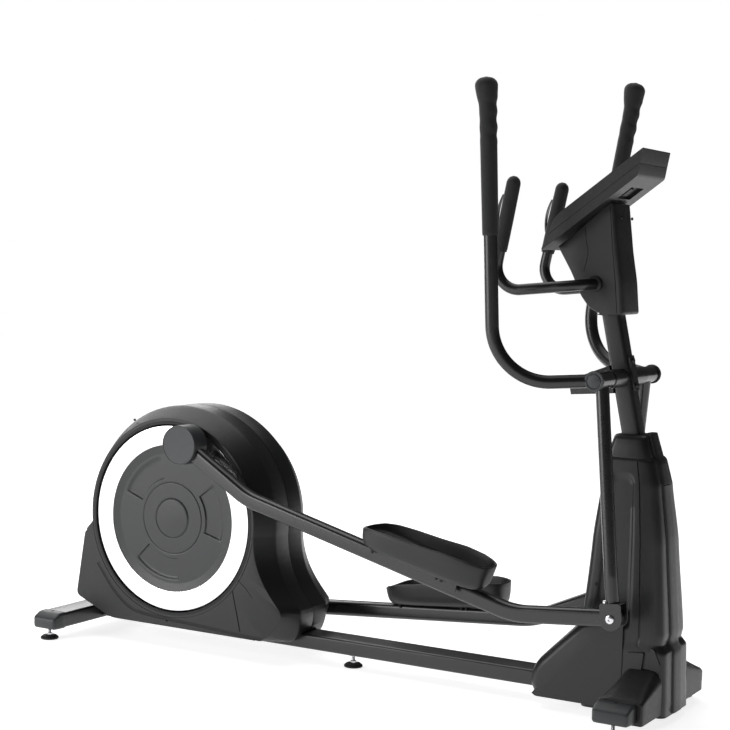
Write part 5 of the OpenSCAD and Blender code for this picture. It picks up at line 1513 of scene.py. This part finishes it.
class TRAINER_OT_stage(bpy.types.Operator):
    """Makes the camera, the soft lights and the pale floor"""
    bl_idname = "trainer.stage"
    bl_label = "Stage"

    def execute(self, context):
        stage = context.scene.trainer_stage
        pitch, roll, yaw = stage.camera_turn
        ahead = Vector((-math.sin(yaw) * math.cos(pitch), math.cos(yaw) * math.cos(pitch), math.sin(pitch)))
        side = Vector((math.cos(yaw), math.sin(yaw), 0))
        up = side.cross(ahead)
        right = side * math.cos(roll) + up * math.sin(roll)
        over = up * math.cos(roll) - side * math.sin(roll)
        turn = Matrix((right, over, -ahead)).transposed()
        lens = bpy.data.cameras.new("camera")
        lens.lens = stage.lens
        lens.sensor_width = 36
        camera = bpy.data.objects.new("camera", lens)
        camera.matrix_world = Matrix.Translation(stage.camera_place) @ turn.to_4x4()
        context.scene.collection.objects.link(camera)
        context.scene.camera = camera
        middle = (0, 0, 0.6)
        panel("key panel", (-3.6, -4.4, 1.7), middle, (3.4, 2.6), stage.key)
        panel("back panel", (-3.6, 3.2, 2.4), middle, (2.2, 3.0), stage.fill)
        panel("top panel", (-1.6, 0.8, 4.4), (0, 0, 0), (3.0, 3.0), stage.top)
        sky = bpy.data.lights.new("soft sky", "SUN")
        sky.energy = stage.sky
        sky.angle = math.radians(70)
        obj = bpy.data.objects.new("soft sky", sky)
        obj.rotation_euler = (math.radians(-14), math.radians(-18), 0)
        context.scene.collection.objects.link(obj)
        self.floor()
        self.world(context)
        context.scene.view_settings.view_transform = "Standard"
        return {"FINISHED"}

    def floor(self):
        size = 14
        floor = piece("floor", ([(-size, -size, 0), (size, -size, 0), (size, size, 0), (-size, size, 0)],
                                [(0, 1, 2, 3)]), None, None)
        made = bpy.data.materials.new("pale floor")
        made.use_nodes = True
        tree = made.node_tree
        shader = tree.nodes["Principled BSDF"]
        shader.inputs["Roughness"].default_value = 0.9
        shader.inputs["Specular IOR Level"].default_value = 0.1
        tone = node(tree, "ShaderNodeGroup", node_tree=effect("Tone drift"))
        tone.inputs["Color"].default_value = (0.93, 0.93, 0.93, 1)
        tone.inputs["Amount"].default_value = 0.006
        tree.links.new(tone.outputs["Color"], shader.inputs["Base Color"])
        shader.inputs["Emission Strength"].default_value = 1.0
        seen = tree.nodes.new("ShaderNodeLightPath")
        near = combine(tree, "MAXIMUM", seen.outputs["Is Camera Ray"], seen.outputs["Is Glossy Ray"])
        glow = node(tree, "ShaderNodeMix", {}, {"Factor": near}, data_type="RGBA")
        glow.inputs[6].default_value = (0.1, 0.1, 0.1, 1)
        glow.inputs[7].default_value = (0.8, 0.8, 0.8, 1)
        tree.links.new(glow.outputs[2], shader.inputs["Emission Color"])
        floor.data.materials.append(made)
        floor.location.z = -0.2 * MM

    def world(self, context):
        world = bpy.data.worlds.new("soft room")
        world.use_nodes = True
        context.scene.world = world
        tree = world.node_tree
        back = tree.nodes["Background"]
        back.inputs["Color"].default_value = (1, 1, 1, 1)
        seen = tree.nodes.new("ShaderNodeLightPath")
        power = node(tree, "ShaderNodeMapRange", {"To Min": 0.05, "To Max": 1.0},
                     {"Value": seen.outputs["Is Camera Ray"]})
        tree.links.new(power.outputs[0], back.inputs["Strength"])


# ---------- Panel and registration ----------

OPERATORS = (TRAINER_OT_stage, TRAINER_OT_frame, TRAINER_OT_base, TRAINER_OT_housing, TRAINER_OT_crank,
             TRAINER_OT_arms, TRAINER_OT_pedals, TRAINER_OT_handles, TRAINER_OT_shroud, TRAINER_OT_mast,
             TRAINER_OT_console, TRAINER_OT_fixed_handlebar)
GROUPS = {"trainer_housing": TrainerHousing, "trainer_crank": TrainerCrank, "trainer_grips": TrainerGrips,
          "trainer_pedals": TrainerPedals, "trainer_colours": TrainerColours, "trainer_stage": TrainerStage}


class TRAINER_PT_panel(bpy.types.Panel):
    """Lists the trainer's sizes, colours and build steps"""
    bl_idname = "TRAINER_PT_panel"
    bl_label = "Elliptical trainer"
    bl_space_type = "VIEW_3D"
    bl_region_type = "UI"
    bl_category = "Trainer"

    def draw(self, context):
        for name, kind in GROUPS.items():
            settings = getattr(context.scene, name)
            column = self.layout.column(heading=kind.__name__)
            for label in kind.__annotations__:
                column.prop(settings, label)
        for operator in OPERATORS:
            self.layout.operator(operator.bl_idname)


def register():
    for kind in (*GROUPS.values(), *OPERATORS, TRAINER_PT_panel):
        bpy.utils.register_class(kind)
    for name, kind in GROUPS.items():
        setattr(bpy.types.Scene, name, PointerProperty(type=kind))


def unregister():
    for name in GROUPS:
        delattr(bpy.types.Scene, name)
    for kind in (TRAINER_PT_panel, *OPERATORS[::-1], *list(GROUPS.values())[::-1]):
        bpy.utils.unregister_class(kind)


def main():
    register()
    for operator in OPERATORS:
        family, name = operator.bl_idname.split(".")
        getattr(getattr(bpy.ops, family), name)()


if __name__ == "__main__":
    main()
